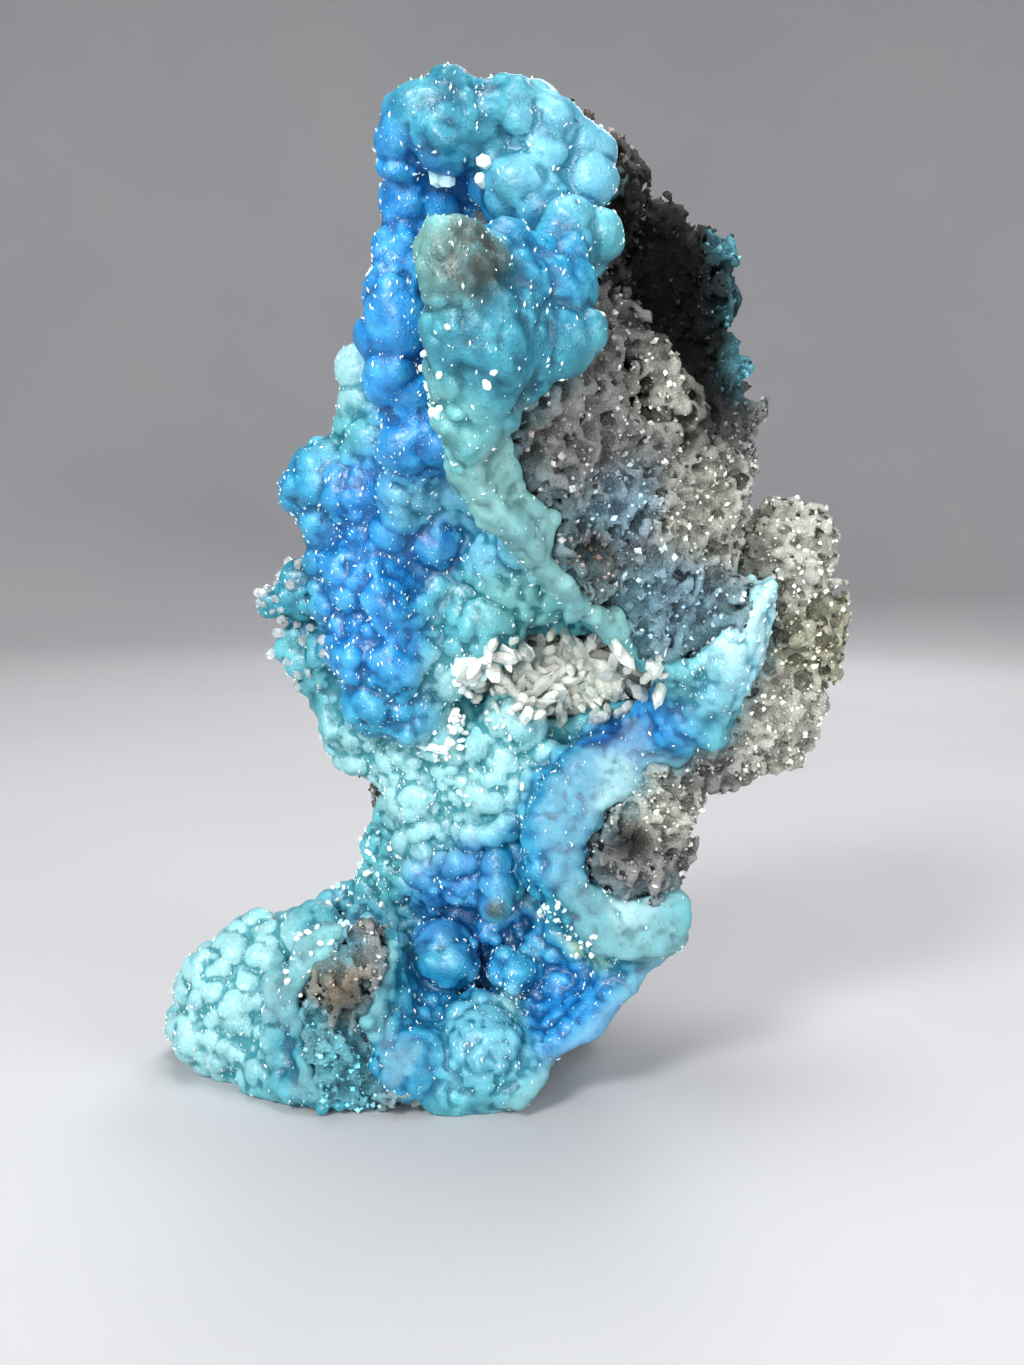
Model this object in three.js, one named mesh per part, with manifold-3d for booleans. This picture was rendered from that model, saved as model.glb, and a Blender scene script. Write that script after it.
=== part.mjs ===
// Blue hemimorphite on a spongy rock matrix: the broken wall of a small cave, standing on its flat foot.
// Millimetres. X runs across the specimen, Y runs away from its open side, Z runs up.
import * as THREE from 'three';
import { mergeVertices } from 'three/addons/utils/BufferGeometryUtils.js';
import Module from 'manifold-3d';

const wasm = await Module();
wasm.setup();

// Driving dimensions
const PARTING_GAP = 0.55; // clear space left round the rock before the parts are finished
const LEAST_GAP = 0.3; // clear space that the finished crust keeps to the rock
const LINING = 1.9; // how far the thin crust stands out from the bosses that it lines
const ROLL_SIDES = 8;
const KNOB_RADIUS = [1.0, 2.1]; // knobs and pits of the spongy rock
const KNOB_CLEARANCE = 2.5; // least space between a knob of the rock and the crust's lumps
const KNOB_COUNT = 40;
const PIT_COUNT = 30;
const CRYSTAL_LENGTH = [2.6, 5.0];
const CRYSTAL_HALF_WIDTH = [0.55, 0.95];
const CRYSTAL_FLATNESS = 0.6; // thickness over width
const CRYSTAL_COUNT = 18;
const CRYSTAL_TRIES = 200;
const BED_SHARE = 0.85; // how far out on the bed crystals stand, as a share of its radii
const WAYWARDNESS = 0.9; // how far crystals lean from straight out
const WHOLE = 200; // larger than the specimen, for blocks that cut right through it
const SEEDS = { knobs: 7, pits: 11, crystals: 23 };

// Unevenness of each kind of surface: its height as a share of the radius, and the size of its swells
const ROCK_SURFACE = { roughness: 0.13, grain: 3.4 };
const CRUST_SURFACE = { roughness: 0.045, grain: 2.6 };
const POCKET_SURFACE = { roughness: 0.05, grain: 3 };
const BED_SURFACE = { roughness: 0.06, grain: 2 };
const ROLL_ROUGHNESS = 0.35; // in millimetres, as is that of the broken faces
const BREAK_ROUGHNESS = 0.6;
const BREAK_STEPS = 5;

// Facets left on the rock and the crust, before and after they are broken and parted
const ROCK_FACETS = { rough: 2300, final: 2700 };
const CRUST_FACETS = { rough: 4200, final: 5300 };
// Limits for closing up edges: the share of edges in one round, the pull of short edges, the least face,
// the most that a face may turn, the area of a sliver and the length of an edge that is always closed up
const CHEAP_SHARE = 0.12;
const SHORTNESS_WEIGHT = 0.004;
const LEAST_FACE = 0.01;
const LEAST_TURN = 0.3;
const SLIVER = 0.001;
const SHORT_EDGE = 0.08;

// Rock: centre x, y, z and radii x, y, z of each boss
const ROCK_BOSSES = {
  crown: [[2, -5, 90, 5, 6, 5.4], [7.5, -3, 88, 5, 7, 5.8], [3, -3, 80, 8, 9, 11]],
  hollowWall: [[12, 3, 80.5, 9, 10, 9], [14.5, 5, 71, 8.5, 10, 10], [15, 6, 62, 9, 9, 9]],
  brokenFace: [[3.5, -11, 68.5, 7.5, 8, 8.5], [9.5, -6.5, 60, 9, 9, 8.5], [15.5, -0.5, 53.5, 8, 8.5, 7.5]],
  rightLobe: [
    [27, 9, 56, 5.5, 7, 6], [29, 11, 48, 5, 8, 7], [26, 11, 40.5, 5.5, 8, 6.5], [21.5, 10, 36.5, 6, 7, 4.5],
  ],
  curlCore: [[15, 9, 32, 4.6, 7, 4.6], [13.3, 8, 26.8, 5.4, 7, 7], [9, 15, 19, 7, 6, 8]],
  upperBack: [[0, 6, 74, 8, 9, 14], [-7, 13, 62, 9, 7, 11], [6, 13, 62, 11, 8, 13]],
  middleBack: [[-10, 15, 50, 9, 6.5, 11], [5, 19, 45, 14, 8, 13], [18, 14, 47, 9, 8, 10]],
  waist: [[-5, 19, 32, 11, 6.5, 12], [6, 20, 30, 10, 8, 12], [-1, 22, 19, 12, 8.5, 8]],
  foot: [
    [-11, 23, 7, 17, 11, 10], [-25, 17, 3, 11, 9, 5.5], [0, 23, 8, 10.5, 10, 12], [-12, 9, 2, 16, 9, 3.2],
  ],
  stump: [[-15.3, 2.6, 15.4, 2.6, 3.6, 3], [-17.4, 2.4, 11.4, 3.3, 3.8, 3.9], [-17, 3, 6, 2.9, 4.2, 4.4]],
};
// The bosses that the crust lines on their open side, and the plane behind which the rock is bare
const LINED_BOSSES = ['upperBack', 'middleBack', 'waist', 'foot'];
const BARE_PLANE = { at: [0, 12, 45], lean: 0.17 };
const BARE_RIGHT = 12; // the rock is bare to the right of this as well
const BURIED = 0.9; // a knob whose middle is this deep in another boss would not show
// The ridge of rock that crosses the lower end of the dark hollow
const RIDGE = {
  through: [[9.5, -9, 76], [13, -6.5, 72], [17, -3, 67], [20.5, 0, 63.5]],
  radius: 2.1,
  count: 7,
};
// The dark hollow in the rock, and its smaller side pocket
const ROCK_HOLLOWS = [[13.8, -4.5, 81, 5.6, 10.5, 10], [18, -3, 74.5, 3.8, 8, 6.2]];
// The crystal pocket: the space that is open, and the bed that the crystals grow on
const POCKET_SPACE = [4.8, 7, 43.7, 10.6, 9, 5.1];
const CRYSTAL_BED = [5, 13.2, 42.8, 8.6, 2.6, 4.2];

// Crust: centre x, y, z and radius of each round lump
const CRUST_LUMPS = {
  tip: [[-5.5, -15, 94.6, 1.8], [-7, -13, 93, 2.5], [-4, -13, 92.5, 3.2], [-1, -13, 93.3, 2.6]],
  upperWall: [
    [-9.5, -12, 92.2, 2.3], [-10, -11, 89.2, 2.2], [-6.5, -8, 90.5, 4], [-2, -9, 91, 3.6], [-9, -7, 87, 3.4],
    [-5, -3, 87, 4.2], [-9.7, -7, 83, 3.2], [-7, -1, 81, 4.2], [-10.6, -7, 79, 2.8], [-10.2, -6, 75.5, 3.3],
    [-7, 0, 76, 4.2], [-10.2, -5, 71.4, 3.6], [-8.9, -4, 67.5, 3.7], [-6, 1, 70.4, 4], [-5.4, 0, 65.6, 3.4],
  ],
  paleEdge: [
    [-15.4, 5, 71.2, 1.8], [-15.4, 5, 74.8, 1.5], [-16, 5, 68.3, 1.8], [-13, 4, 72.5, 2.6],
    [-13, 4, 67.5, 2.8],
  ],
  frontLobe: [
    [-4.5, -25, 78.6, 3], [-0.5, -20, 78.8, 4], [3, -18, 79, 3.5], [-2.2, -22, 73.3, 4.4],
    [1.8, -18, 73, 4.4], [-4.4, -21, 70, 3], [4.6, -14, 83, 3.4], [0, -15, 75, 5],
  ],
  shoulder: [[1.3, -12, 86.5, 3.6], [4.8, -11, 88.4, 3.2], [2.2, -12, 91.7, 3.3]],
  leftLobes: [
    [-19.7, 7, 63.7, 3.3], [-19.4, 8, 59.5, 2.5], [-15.1, 5, 62.5, 3.3], [-15.8, 7, 66.5, 2.5],
    [-18, 8, 55.5, 3], [-12.7, 5, 55.4, 3.8], [-13.7, 6, 59.5, 3], [-16.7, 7, 51.3, 3.5],
    [-11.8, 4, 50.5, 3.7], [-15.3, 6, 46.3, 3.6], [-11, 5, 45.6, 3.6], [-13.9, 7, 41.1, 3.6],
    [-10.2, 7, 40.1, 3.2],
  ],
  clearTip: [[-22.5, 9, 51.6, 2.3], [-25, 9, 50.7, 1.6], [-21, 9, 53, 2.2]],
  ledge: [[-23.4, 11, 45.8, 1.7], [-21, 12, 43.6, 1.8], [-19, 12.5, 40.8, 2], [-19.5, 11, 46, 2.6]],
  middleKnobs: [
    [-10, 1, 62.5, 2.6], [-7.4, 1, 62, 1.7], [-10.9, 1, 60.1, 1.7], [-5.1, 0, 61.6, 2.1],
    [-7.7, 4, 57.6, 2.8], [-1, 5, 56, 4.4], [1.1, 5, 52.4, 3.3], [3.7, 5, 51.8, 2.2], [-4.6, 6, 49, 4.1],
    [-7.1, 5, 51.6, 2.7], [-9, 8, 42.3, 2.8], [-6.6, 8, 44.3, 2.5],
  ],
  caveRoof: [[-3, 4, 62, 4.5], [3, 0, 60, 5], [8, 4, 55, 5]],
  waistLumps: [
    [1, 9, 38.6, 2.8], [-3.3, 9, 31.6, 3.1], [-0.7, 9, 34.6, 2.4], [-6.5, 9, 36.3, 2.5],
    [-9.4, 12, 30.8, 3.8], [-3.4, 10, 27, 2.7], [-0.4, 8, 30.8, 1.6], [-11.9, 13, 33, 3.1],
    [-15.5, 13, 35.2, 2.9], [-17.2, 12, 37.3, 2.1], [-7.7, 13, 25.2, 3.6], [-6.7, 13, 22.3, 3.1],
    [-3, 11, 36, 3.4], [-2.5, 13, 22, 4],
  ],
  leftOutcrop: [[-13.6, 18, 23, 3.1], [-16.3, 19, 18.4, 2.6], [-19, 20, 17.8, 1.9], [-12, 17, 19.4, 3.3]],
  azurePatch: [[14.9, 6, 40.2, 3.4], [12.9, 6, 37.2, 2.7], [18.7, 5, 42, 3.4]],
  basin: [
    [-7, 16, 12.8, 5], [-1.6, 14, 14.9, 3.6], [-8.9, 10, 9.8, 2.9], [-11.1, 8, 12.1, 2.5],
    [2.7, 16, 9.4, 4.3], [-2.8, 6, 5.8, 4.8], [-11, 4, 5, 4.3], [-8.1, 9, 6.5, 3.7], [-15.1, 4, 4.6, 3.2],
    [-19.3, 5, 4.4, 3.1], [-6.6, 3, 2.4, 3.2], [-1.7, 4, 2.4, 3.2], [-13, 15, 10, 4.5],
  ],
  footLobes: [
    [-32.5, 11, 5, 3.7], [-31, 12, 8.5, 4.4], [-27, 13, 13.2, 3.7], [-34.6, 13, 8, 2.7],
    [-23.8, 17, 11.9, 3.8], [-21.8, 19, 13.8, 3], [-17.2, 18, 13.3, 3.6], [-13.6, 18, 13.3, 3.6],
    [-27.8, 9, 4.6, 3.3], [-23.8, 7, 4.3, 3.1], [-25, 12, 8, 4.5], [-20, 12, 9, 4.5],
  ],
  bowlWall: [
    [4, 8, 4.5, 4.4], [8, 10, 9, 5], [12.2, 10.5, 13, 4.6], [15, 10, 17, 3.6], [6, 14, 7, 4.6],
    [0.8, 4, 2, 2.8], [5, 12, 14, 4.8],
  ],
  stumpRim: [
    [-20.5, 4.5, 10, 4.4], [-18, 4, 14.4, 4.4], [-14, 4.5, 16.2, 3.6], [-14.6, 4.5, 10.5, 4.6],
    [-17.5, 3.5, 5.6, 4.4], [-22.4, 5, 7.4, 3],
  ],
};
// Rolls of crust along a line: the rim of the broken face, the curl below it and the edges at both ends
const CRUST_ROLLS = {
  brokenRim: {
    through: [[-4.4, -20.5, 68.5], [-2.7, -18, 63.5], [2.6, -12, 57.3], [9.2, -6, 51.7], [15.8, 0, 46.6]],
    radius: 3.3,
    steps: 12,
  },
  rightRim: {
    through: [[20.8, 0, 55.5], [21, 1.5, 50], [20, 2.5, 45], [17.5, 4.5, 41]],
    radius: 4,
    steps: 6,
  },
  curl: {
    through: [
      [16, 5.5, 38.6], [12.4, 5.5, 36], [8.6, 5, 35.2], [5.8, 4.5, 32.4], [4.6, 4, 28.9], [4.6, 4, 24.4],
      [6.4, 4, 20.9], [9.6, 4, 18.8], [13.3, 5, 18.4], [16.6, 6, 19.3],
    ],
    radius: 3.3,
    steps: 24,
  },
  hollowRim: {
    through: [[18.6, 3, 86], [21, 2.5, 81], [21.6, 2.5, 76], [21.8, 3, 70]],
    radius: 1.5,
    steps: 7,
  },
  footRim: {
    through: [[0.8, 2.8, 1.2], [7, 5, 7.4], [12, 6.5, 12.4], [17.4, 7.5, 17.6]],
    radius: 3,
    steps: 8,
  },
  fingerLow: { through: [[-9, 9.5, 23], [-5, 8.5, 21.4], [-2.6, 8, 20.4]], radius: 1, steps: 3 },
  fingerHigh: { through: [[-7.5, 9.5, 26.4], [-3.5, 8.2, 24.6], [-1.6, 7.6, 22.4]], radius: 1, steps: 3 },
};

// Broken faces: the middle of each, the way it looks, half its width and height, and the depth broken away
const BREAKS = {
  upperFace: { at: [11.3, -8.2, 61.7], facing: [0.63, -0.76, -0.15], reach: [16.5, 11], depth: 10 },
  curlFace: { at: [11.5, 2.4, 27], facing: [0.35, -0.93, 0.1], reach: [11, 11], depth: 8 },
  footEdge: { at: [9.4, 6, 8.2], facing: [0.7, -0.08, -0.71], reach: [15, 14], depth: 14 },
  stumpFace: { at: [-17, 0.6, 11], facing: [-0.1, -0.96, 0.26], reach: [8, 8.5], depth: 5 },
};
const ROCK_ROWS = Object.values(ROCK_BOSSES).flat();
const CRUST_ROWS = Object.values(CRUST_LUMPS).flat();

/** Repeatable random numbers from 0 to 1. */
function seededRandom(seed) {
  let state = seed;
  return () => {
    state = (state + 0x6d2b79f5) | 0;
    let mixed = Math.imul(state ^ (state >>> 15), 1 | state);
    mixed = (mixed + Math.imul(mixed ^ (mixed >>> 7), 61 | mixed)) ^ mixed;
    return ((mixed ^ (mixed >>> 14)) >>> 0) / 4294967296;
  };
}

/** A fixed number from -1 to 1 for each corner of a cubic grid. */
function cornerValue(i, j, k) {
  const wave = Math.sin(i * 127.1 + j * 311.7 + k * 74.7) * 43758.5453;
  return 2 * (wave - Math.floor(wave)) - 1;
}

/** Smooth unevenness from -1 to 1 that depends only on the place. */
function unevenness(x, y, z) {
  const [i, j, k] = [Math.floor(x), Math.floor(y), Math.floor(z)];
  const ease = (t) => t * t * (3 - 2 * t);
  const [u, v, w] = [ease(x - i), ease(y - j), ease(z - k)];
  const mix = THREE.MathUtils.lerp;
  const edge = (dj, dk) => mix(cornerValue(i, j + dj, k + dk), cornerValue(i + 1, j + dj, k + dk), u);
  return mix(mix(edge(0, 0), edge(1, 0), v), mix(edge(0, 1), edge(1, 1), v), w);
}

/** A closed solid from a geometry whose corners meet. */
function toSolid(geometry) {
  geometry.deleteAttribute('normal');
  geometry.deleteAttribute('uv');
  const merged = mergeVertices(geometry, 1e-4);
  return new wasm.Manifold(new wasm.Mesh({
    numProp: 3,
    vertProperties: new Float32Array(merged.attributes.position.array),
    triVerts: new Uint32Array(merged.index.array),
  }));
}

/** A geometry from a closed solid. */
function toGeometry(solid) {
  const { vertProperties, triVerts } = solid.getMesh();
  const geometry = new THREE.BufferGeometry();
  geometry.setAttribute('position', new THREE.BufferAttribute(vertProperties, 3));
  geometry.setIndex(new THREE.BufferAttribute(triVerts, 1));
  const faceted = geometry.toNonIndexed();
  faceted.computeVertexNormals();
  return faceted;
}

/** Moves every corner of a geometry a little, by its place alone. */
function roughen(geometry, height, grain) {
  const place = geometry.attributes.position;
  for (let n = 0; n < place.count; n += 1) {
    const [x, y, z] = [place.getX(n) / grain, place.getY(n) / grain, place.getZ(n) / grain];
    place.setXYZ(
      n,
      place.getX(n) + height * unevenness(x, y, z),
      place.getY(n) + height * unevenness(y + 31, z, x),
      place.getZ(n) + height * unevenness(z, x + 57, y),
    );
  }
  return geometry;
}

/** An uneven ellipsoid from its centre and radii, larger all round by what it grows. */
function boss([x, y, z, rx, ry, rz], { grow = 0, roughness, grain, detail = 1 }) {
  const geometry = new THREE.IcosahedronGeometry(1, detail);
  const place = geometry.attributes.position;
  for (let n = 0; n < place.count; n += 1) {
    const [a, b, c] = [place.getX(n), place.getY(n), place.getZ(n)];
    const [u, v, w] = [(x + a * rx) / grain, (y + b * ry) / grain, (z + c * rz) / grain];
    const swell = 1 + roughness * unevenness(u, v, w);
    place.setXYZ(n, x + a * (rx + grow) * swell, y + b * (ry + grow) * swell, z + c * (rz + grow) * swell);
  }
  return toSolid(geometry);
}

/** A round roll along a smooth line. */
function roll({ through, radius, steps }) {
  const extrudePath = new THREE.CatmullRomCurve3(through.map((point) => new THREE.Vector3(...point)));
  const section = new THREE.Shape();
  for (let n = 0; n < ROLL_SIDES; n += 1) {
    const angle = (2 * Math.PI * n) / ROLL_SIDES;
    const corner = [radius * Math.cos(angle), radius * Math.sin(angle)];
    if (n === 0) {
      section.moveTo(...corner);
    } else {
      section.lineTo(...corner);
    }
  }
  section.closePath();
  const geometry = new THREE.ExtrudeGeometry(section, { steps, extrudePath });
  return toSolid(roughen(geometry, ROLL_ROUGHNESS, CRUST_SURFACE.grain));
}

/** Points spread evenly along a smooth line. */
function pointsAlong({ through, count }) {
  const curve = new THREE.CatmullRomCurve3(through.map((point) => new THREE.Vector3(...point)));
  return curve.getSpacedPoints(count - 1);
}

/** All the solids joined in one. */
function joined(solids) {
  return solids.reduce((whole, next) => whole.add(next));
}

/** A solid from the corners and faces of a body. */
function fromBody({ vertProperties, triVerts }) {
  return new wasm.Manifold(new wasm.Mesh({ numProp: 3, vertProperties, triVerts }));
}

/** The largest connected body of a solid; crumbs that a cut leaves loose fall away. */
function mainBody(solid) {
  const { vertProperties, triVerts } = solid.getMesh();
  const owner = Array.from({ length: vertProperties.length / 3 }, (_, n) => n);
  const find = (n) => {
    let root = n;
    while (owner[root] !== root) {
      owner[root] = owner[owner[root]];
      root = owner[root];
    }
    return root;
  };
  for (let t = 0; t < triVerts.length; t += 3) {
    owner[find(triVerts[t])] = find(triVerts[t + 1]);
    owner[find(triVerts[t + 1])] = find(triVerts[t + 2]);
  }
  const size = new Map();
  for (const corner of triVerts) {
    const body = find(corner);
    size.set(body, (size.get(body) ?? 0) + 1);
  }
  const [main] = [...size.entries()].reduce((best, next) => (next[1] > best[1] ? next : best));
  const kept = triVerts.filter((_, n) => find(triVerts[n - (n % 3)]) === main);
  return fromBody({ vertProperties, triVerts: kept });
}

/** The plane and area of a face. */
function planeOf(a, b, c) {
  const cross = new THREE.Vector3().subVectors(b, a).cross(new THREE.Vector3().subVectors(c, a));
  const length = cross.length();
  const normal = length > 0 ? cross.divideScalar(length) : cross;
  return { normal, offset: -normal.dot(a), area: length / 2 };
}

/** Closes up the edges whose loss changes the shape least, and returns the faces that are left. */
function closeCheapEdges(corners, faces, surplus, longest) {
  const around = corners.map(() => []);
  faces.forEach((face, n) => face.forEach((corner) => around[corner].push(n)));
  const planes = faces.map(([a, b, c]) => planeOf(corners[a], corners[b], corners[c]));
  const edges = [];
  for (const face of faces) {
    for (let side = 0; side < 3; side += 1) {
      const [a, b] = [face[side], face[(side + 1) % 3]];
      if (a < b && corners[a].distanceTo(corners[b]) < longest) {
        edges.push(costOfClosing(a, b, corners, around, planes));
      }
    }
  }
  edges.sort((one, other) => one.cost - other.cost);
  const locked = new Set();
  let closed = 0;
  const cheap = longest < Infinity ? edges : edges.slice(0, Math.ceil(edges.length * CHEAP_SHARE));
  for (const { a, b, place } of cheap) {
    const near = new Set([...around[a], ...around[b]].flatMap((n) => faces[n]));
    const busy = [...near].some((corner) => locked.has(corner));
    if (2 * closed < surplus && !busy && canClose(a, b, place, corners, faces, around, planes)) {
      corners[a] = place;
      around[b].forEach((n) => {
        faces[n] = faces[n].map((corner) => (corner === b ? a : corner));
      });
      near.forEach((corner) => locked.add(corner));
      closed += 1;
    }
  }
  return faces.filter(([a, b, c]) => a !== b && b !== c && c !== a);
}

/** Where an edge best closes up to, and how far the surface would then stray. */
function costOfClosing(a, b, corners, around, planes) {
  const near = new Set([...around[a], ...around[b]]);
  const middle = new THREE.Vector3().addVectors(corners[a], corners[b]).multiplyScalar(0.5);
  const short = SHORTNESS_WEIGHT * corners[a].distanceToSquared(corners[b]);
  let best = { cost: Infinity };
  for (const place of [middle, corners[a].clone(), corners[b].clone()]) {
    let cost = short;
    for (const n of near) {
      const { normal, offset, area } = planes[n];
      cost += area * (normal.dot(place) + offset) ** 2;
    }
    if (cost < best.cost) {
      best = { a, b, place, cost };
    }
  }
  return best;
}

/** True where closing an edge keeps the surface closed and turns no face over. */
function canClose(a, b, place, corners, faces, around, planes) {
  const beside = (corner) => new Set(around[corner].flatMap((n) => faces[n]));
  const besideB = beside(b);
  const shared = [...beside(a)].filter((corner) => corner !== a && corner !== b && besideB.has(corner));
  if (shared.length !== 2) {
    return false;
  }
  return [...around[a], ...around[b]].every((n) => {
    if (faces[n].includes(a) && faces[n].includes(b)) {
      return true;
    }
    const moved = faces[n].map((corner) => (corner === a || corner === b ? place : corners[corner]));
    const after = planeOf(...moved);
    const { normal, area } = planes[n];
    const facesAlike = area < SLIVER || after.normal.dot(normal) > LEAST_TURN;
    return after.area > Math.min(LEAST_FACE, area / 2) && facesAlike;
  });
}

/** The same solid with fewer facets; only edges shorter than the longest are closed up. */
function coarser(solid, facetCount, longest = Infinity) {
  const { vertProperties, triVerts } = solid.getMesh();
  const corners = [];
  for (let n = 0; n < vertProperties.length; n += 3) {
    corners.push(new THREE.Vector3().fromArray(vertProperties, n));
  }
  let faces = [];
  for (let n = 0; n < triVerts.length; n += 3) {
    faces.push([...triVerts.subarray(n, n + 3)]);
  }
  let before = Infinity;
  while (faces.length > facetCount && faces.length < before) {
    before = faces.length;
    faces = closeCheapEdges(corners, faces, faces.length - facetCount, longest);
  }
  const places = corners.flatMap((corner) => corner.toArray());
  return fromBody({ vertProperties: new Float32Array(places), triVerts: new Uint32Array(faces.flat()) });
}

/** The space that a body needs: the body joined with copies shifted along each axis by up to the gap. */
function withGap(solid, gap, steps = 1) {
  const { vertProperties, triVerts } = solid.getMesh();
  const copies = [solid];
  for (let step = 1; step <= steps; step += 1) {
    for (const axis of [0, 1, 2]) {
      for (const way of [-1, 1]) {
        const shift = (way * gap * step) / steps;
        const places = vertProperties.map((value, n) => (n % 3 === axis ? value + shift : value));
        copies.push(fromBody({ vertProperties: places, triVerts }));
      }
    }
  }
  return joined(copies);
}

/** Small knobs or pits on the bare sides of the rock's bosses. */
function rockKnobs(seed, count) {
  const random = seededRandom(seed);
  const [least, most] = KNOB_RADIUS;
  const knobs = [];
  while (knobs.length < count) {
    const [x, y, z, rx, ry, rz] = ROCK_ROWS[Math.floor(random() * ROCK_ROWS.length)];
    const turn = random() * 2 * Math.PI;
    const lift = 2 * random() - 1;
    const flat = Math.sqrt(1 - lift * lift);
    const radius = least + (most - least) * random();
    const [aside, back] = [flat * Math.cos(turn), flat * Math.sin(turn)];
    const place = new THREE.Vector3(x + rx * aside, y + ry * back, z + rz * lift);
    if (isBare(place, radius)) {
      knobs.push([place.x, place.y, place.z, radius, radius, radius]);
    }
  }
  return knobs;
}

/** True where a knob lies on the outside of the rock and clear of the crust. */
function isBare(place, radius) {
  const inRock = ROCK_ROWS.filter(([x, y, z, rx, ry, rz]) => {
    const away = [(place.x - x) / rx, (place.y - y) / ry, (place.z - z) / rz];
    return Math.hypot(...away) < BURIED;
  });
  const clear = CRUST_ROWS.every(([x, y, z, r]) => {
    return Math.hypot(place.x - x, place.y - y, place.z - z) > r + radius + KNOB_CLEARANCE;
  });
  const backed = place.y > BARE_PLANE.at[1] - (place.z - BARE_PLANE.at[2]) * BARE_PLANE.lean;
  return inRock.length === 0 && clear && (backed || place.x > BARE_RIGHT);
}

/** The rock with its hollows, ridge, knobs and pits. */
function buildRock() {
  const small = { ...ROCK_SURFACE, detail: 0 };
  const { radius } = RIDGE;
  const ridge = pointsAlong(RIDGE).map((p) => boss([p.x, p.y, p.z, radius, radius, radius], ROCK_SURFACE));
  const knobs = rockKnobs(SEEDS.knobs, KNOB_COUNT).map((row) => boss(row, small));
  const pits = rockKnobs(SEEDS.pits, PIT_COUNT).map((row) => boss(row, small));
  const hollows = ROCK_HOLLOWS.map((row) => boss(row, ROCK_SURFACE));
  const whole = joined([...ROCK_ROWS.map((row) => boss(row, ROCK_SURFACE)), ...knobs]);
  return coarser(whole.subtract(joined([...hollows, ...pits])).add(joined(ridge)), ROCK_FACETS.rough);
}

/** The crust: round lumps and rolls on a lining that follows the rock. */
function buildCrust(rock) {
  const lumps = CRUST_ROWS.map(([x, y, z, r]) => boss([x, y, z, r, r, r], CRUST_SURFACE));
  const lined = LINED_BOSSES.flatMap((name) => ROCK_BOSSES[name]);
  const skin = lined.map((row) => boss(row, { ...ROCK_SURFACE, grow: LINING }));
  const lining = joined(skin).subtract(behindBarePlane());
  const whole = joined([...lumps, ...Object.values(CRUST_ROLLS).map(roll), lining]);
  return coarser(whole, CRUST_FACETS.rough).subtract(withGap(rock, PARTING_GAP));
}

/** Everything behind the plane where the lining ends. */
function behindBarePlane() {
  const geometry = new THREE.BoxGeometry(WHOLE, WHOLE, WHOLE);
  geometry.translate(0, WHOLE / 2, 0);
  geometry.rotateX(Math.atan(BARE_PLANE.lean));
  geometry.translate(...BARE_PLANE.at);
  return toSolid(geometry);
}

/** A block whose near face is broken unevenly; it takes away what stood in front of a broken face. */
function breakBlock({ at, facing, reach, depth }) {
  const geometry = new THREE.BoxGeometry(2 * reach[0], 2 * reach[1], depth, BREAK_STEPS, BREAK_STEPS, 1);
  geometry.translate(0, 0, depth / 2);
  const towards = new THREE.Vector3(...facing).normalize();
  const turn = new THREE.Quaternion().setFromUnitVectors(new THREE.Vector3(0, 0, 1), towards);
  geometry.applyQuaternion(turn);
  geometry.translate(...at);
  return toSolid(roughen(geometry, BREAK_ROUGHNESS, ROCK_SURFACE.grain));
}

/** One flattened six-sided crystal with a point, standing along Y on its root. */
function crystal(length, width) {
  const profile = [[0, -0.35 * length], [0.8 * width, -0.3 * length], [width, 0.55 * length], [0, length]];
  const geometry = new THREE.LatheGeometry(profile.map(([r, h]) => new THREE.Vector2(r, h)), 6);
  geometry.scale(1, 1, CRYSTAL_FLATNESS);
  return geometry;
}

/** One crystal standing on the bed the way it leans, with clear space round it if grow is above zero. */
function placedCrystal({ length, width, place, lean, spin }, grow) {
  const geometry = crystal(length + grow, width + grow);
  geometry.rotateY(spin);
  geometry.applyQuaternion(new THREE.Quaternion().setFromUnitVectors(new THREE.Vector3(0, 1, 0), lean));
  geometry.translate(place.x, place.y, place.z);
  return toSolid(geometry);
}

/** The crystals of the pocket on their common bed, each where it stays clear of the walls. */
function buildPocketCrystals(walls) {
  const random = seededRandom(SEEDS.crystals);
  const between = ([low, high]) => low + (high - low) * random();
  const [x, y, z, rx, ry, rz] = CRYSTAL_BED;
  const solids = [boss(CRYSTAL_BED, BED_SURFACE)];
  for (let n = 0; n < CRYSTAL_TRIES && solids.length <= CRYSTAL_COUNT; n += 1) {
    const across = between([-BED_SHARE, BED_SHARE]);
    const up = between([-BED_SHARE, BED_SHARE]);
    const out = Math.sqrt(Math.max(0, 1 - across * across - up * up));
    const aside = across + between([-WAYWARDNESS, WAYWARDNESS]) / 2;
    const upward = up / 2 + between([-WAYWARDNESS, WAYWARDNESS]) / 2;
    const setting = {
      length: between(CRYSTAL_LENGTH),
      width: between(CRYSTAL_HALF_WIDTH),
      place: new THREE.Vector3(x + rx * across, y - ry * out, z + rz * up),
      lean: new THREE.Vector3(aside, -1, upward).normalize(),
      spin: random() * Math.PI,
    };
    if (walls.intersect(placedCrystal(setting, PARTING_GAP)).isEmpty()) {
      solids.push(placedCrystal(setting, 0));
    }
  }
  return joined(solids);
}

/** What lies below the foot, cut off flat. */
function belowFoot() {
  const geometry = new THREE.BoxGeometry(WHOLE, WHOLE, WHOLE);
  geometry.translate(0, 0, -WHOLE / 2);
  return toSolid(geometry);
}

/** A named mesh in its own material. */
function piece(name, solid, finish) {
  const mesh = new THREE.Mesh(toGeometry(solid), new THREE.MeshStandardMaterial(finish));
  mesh.name = name;
  return mesh;
}

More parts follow.
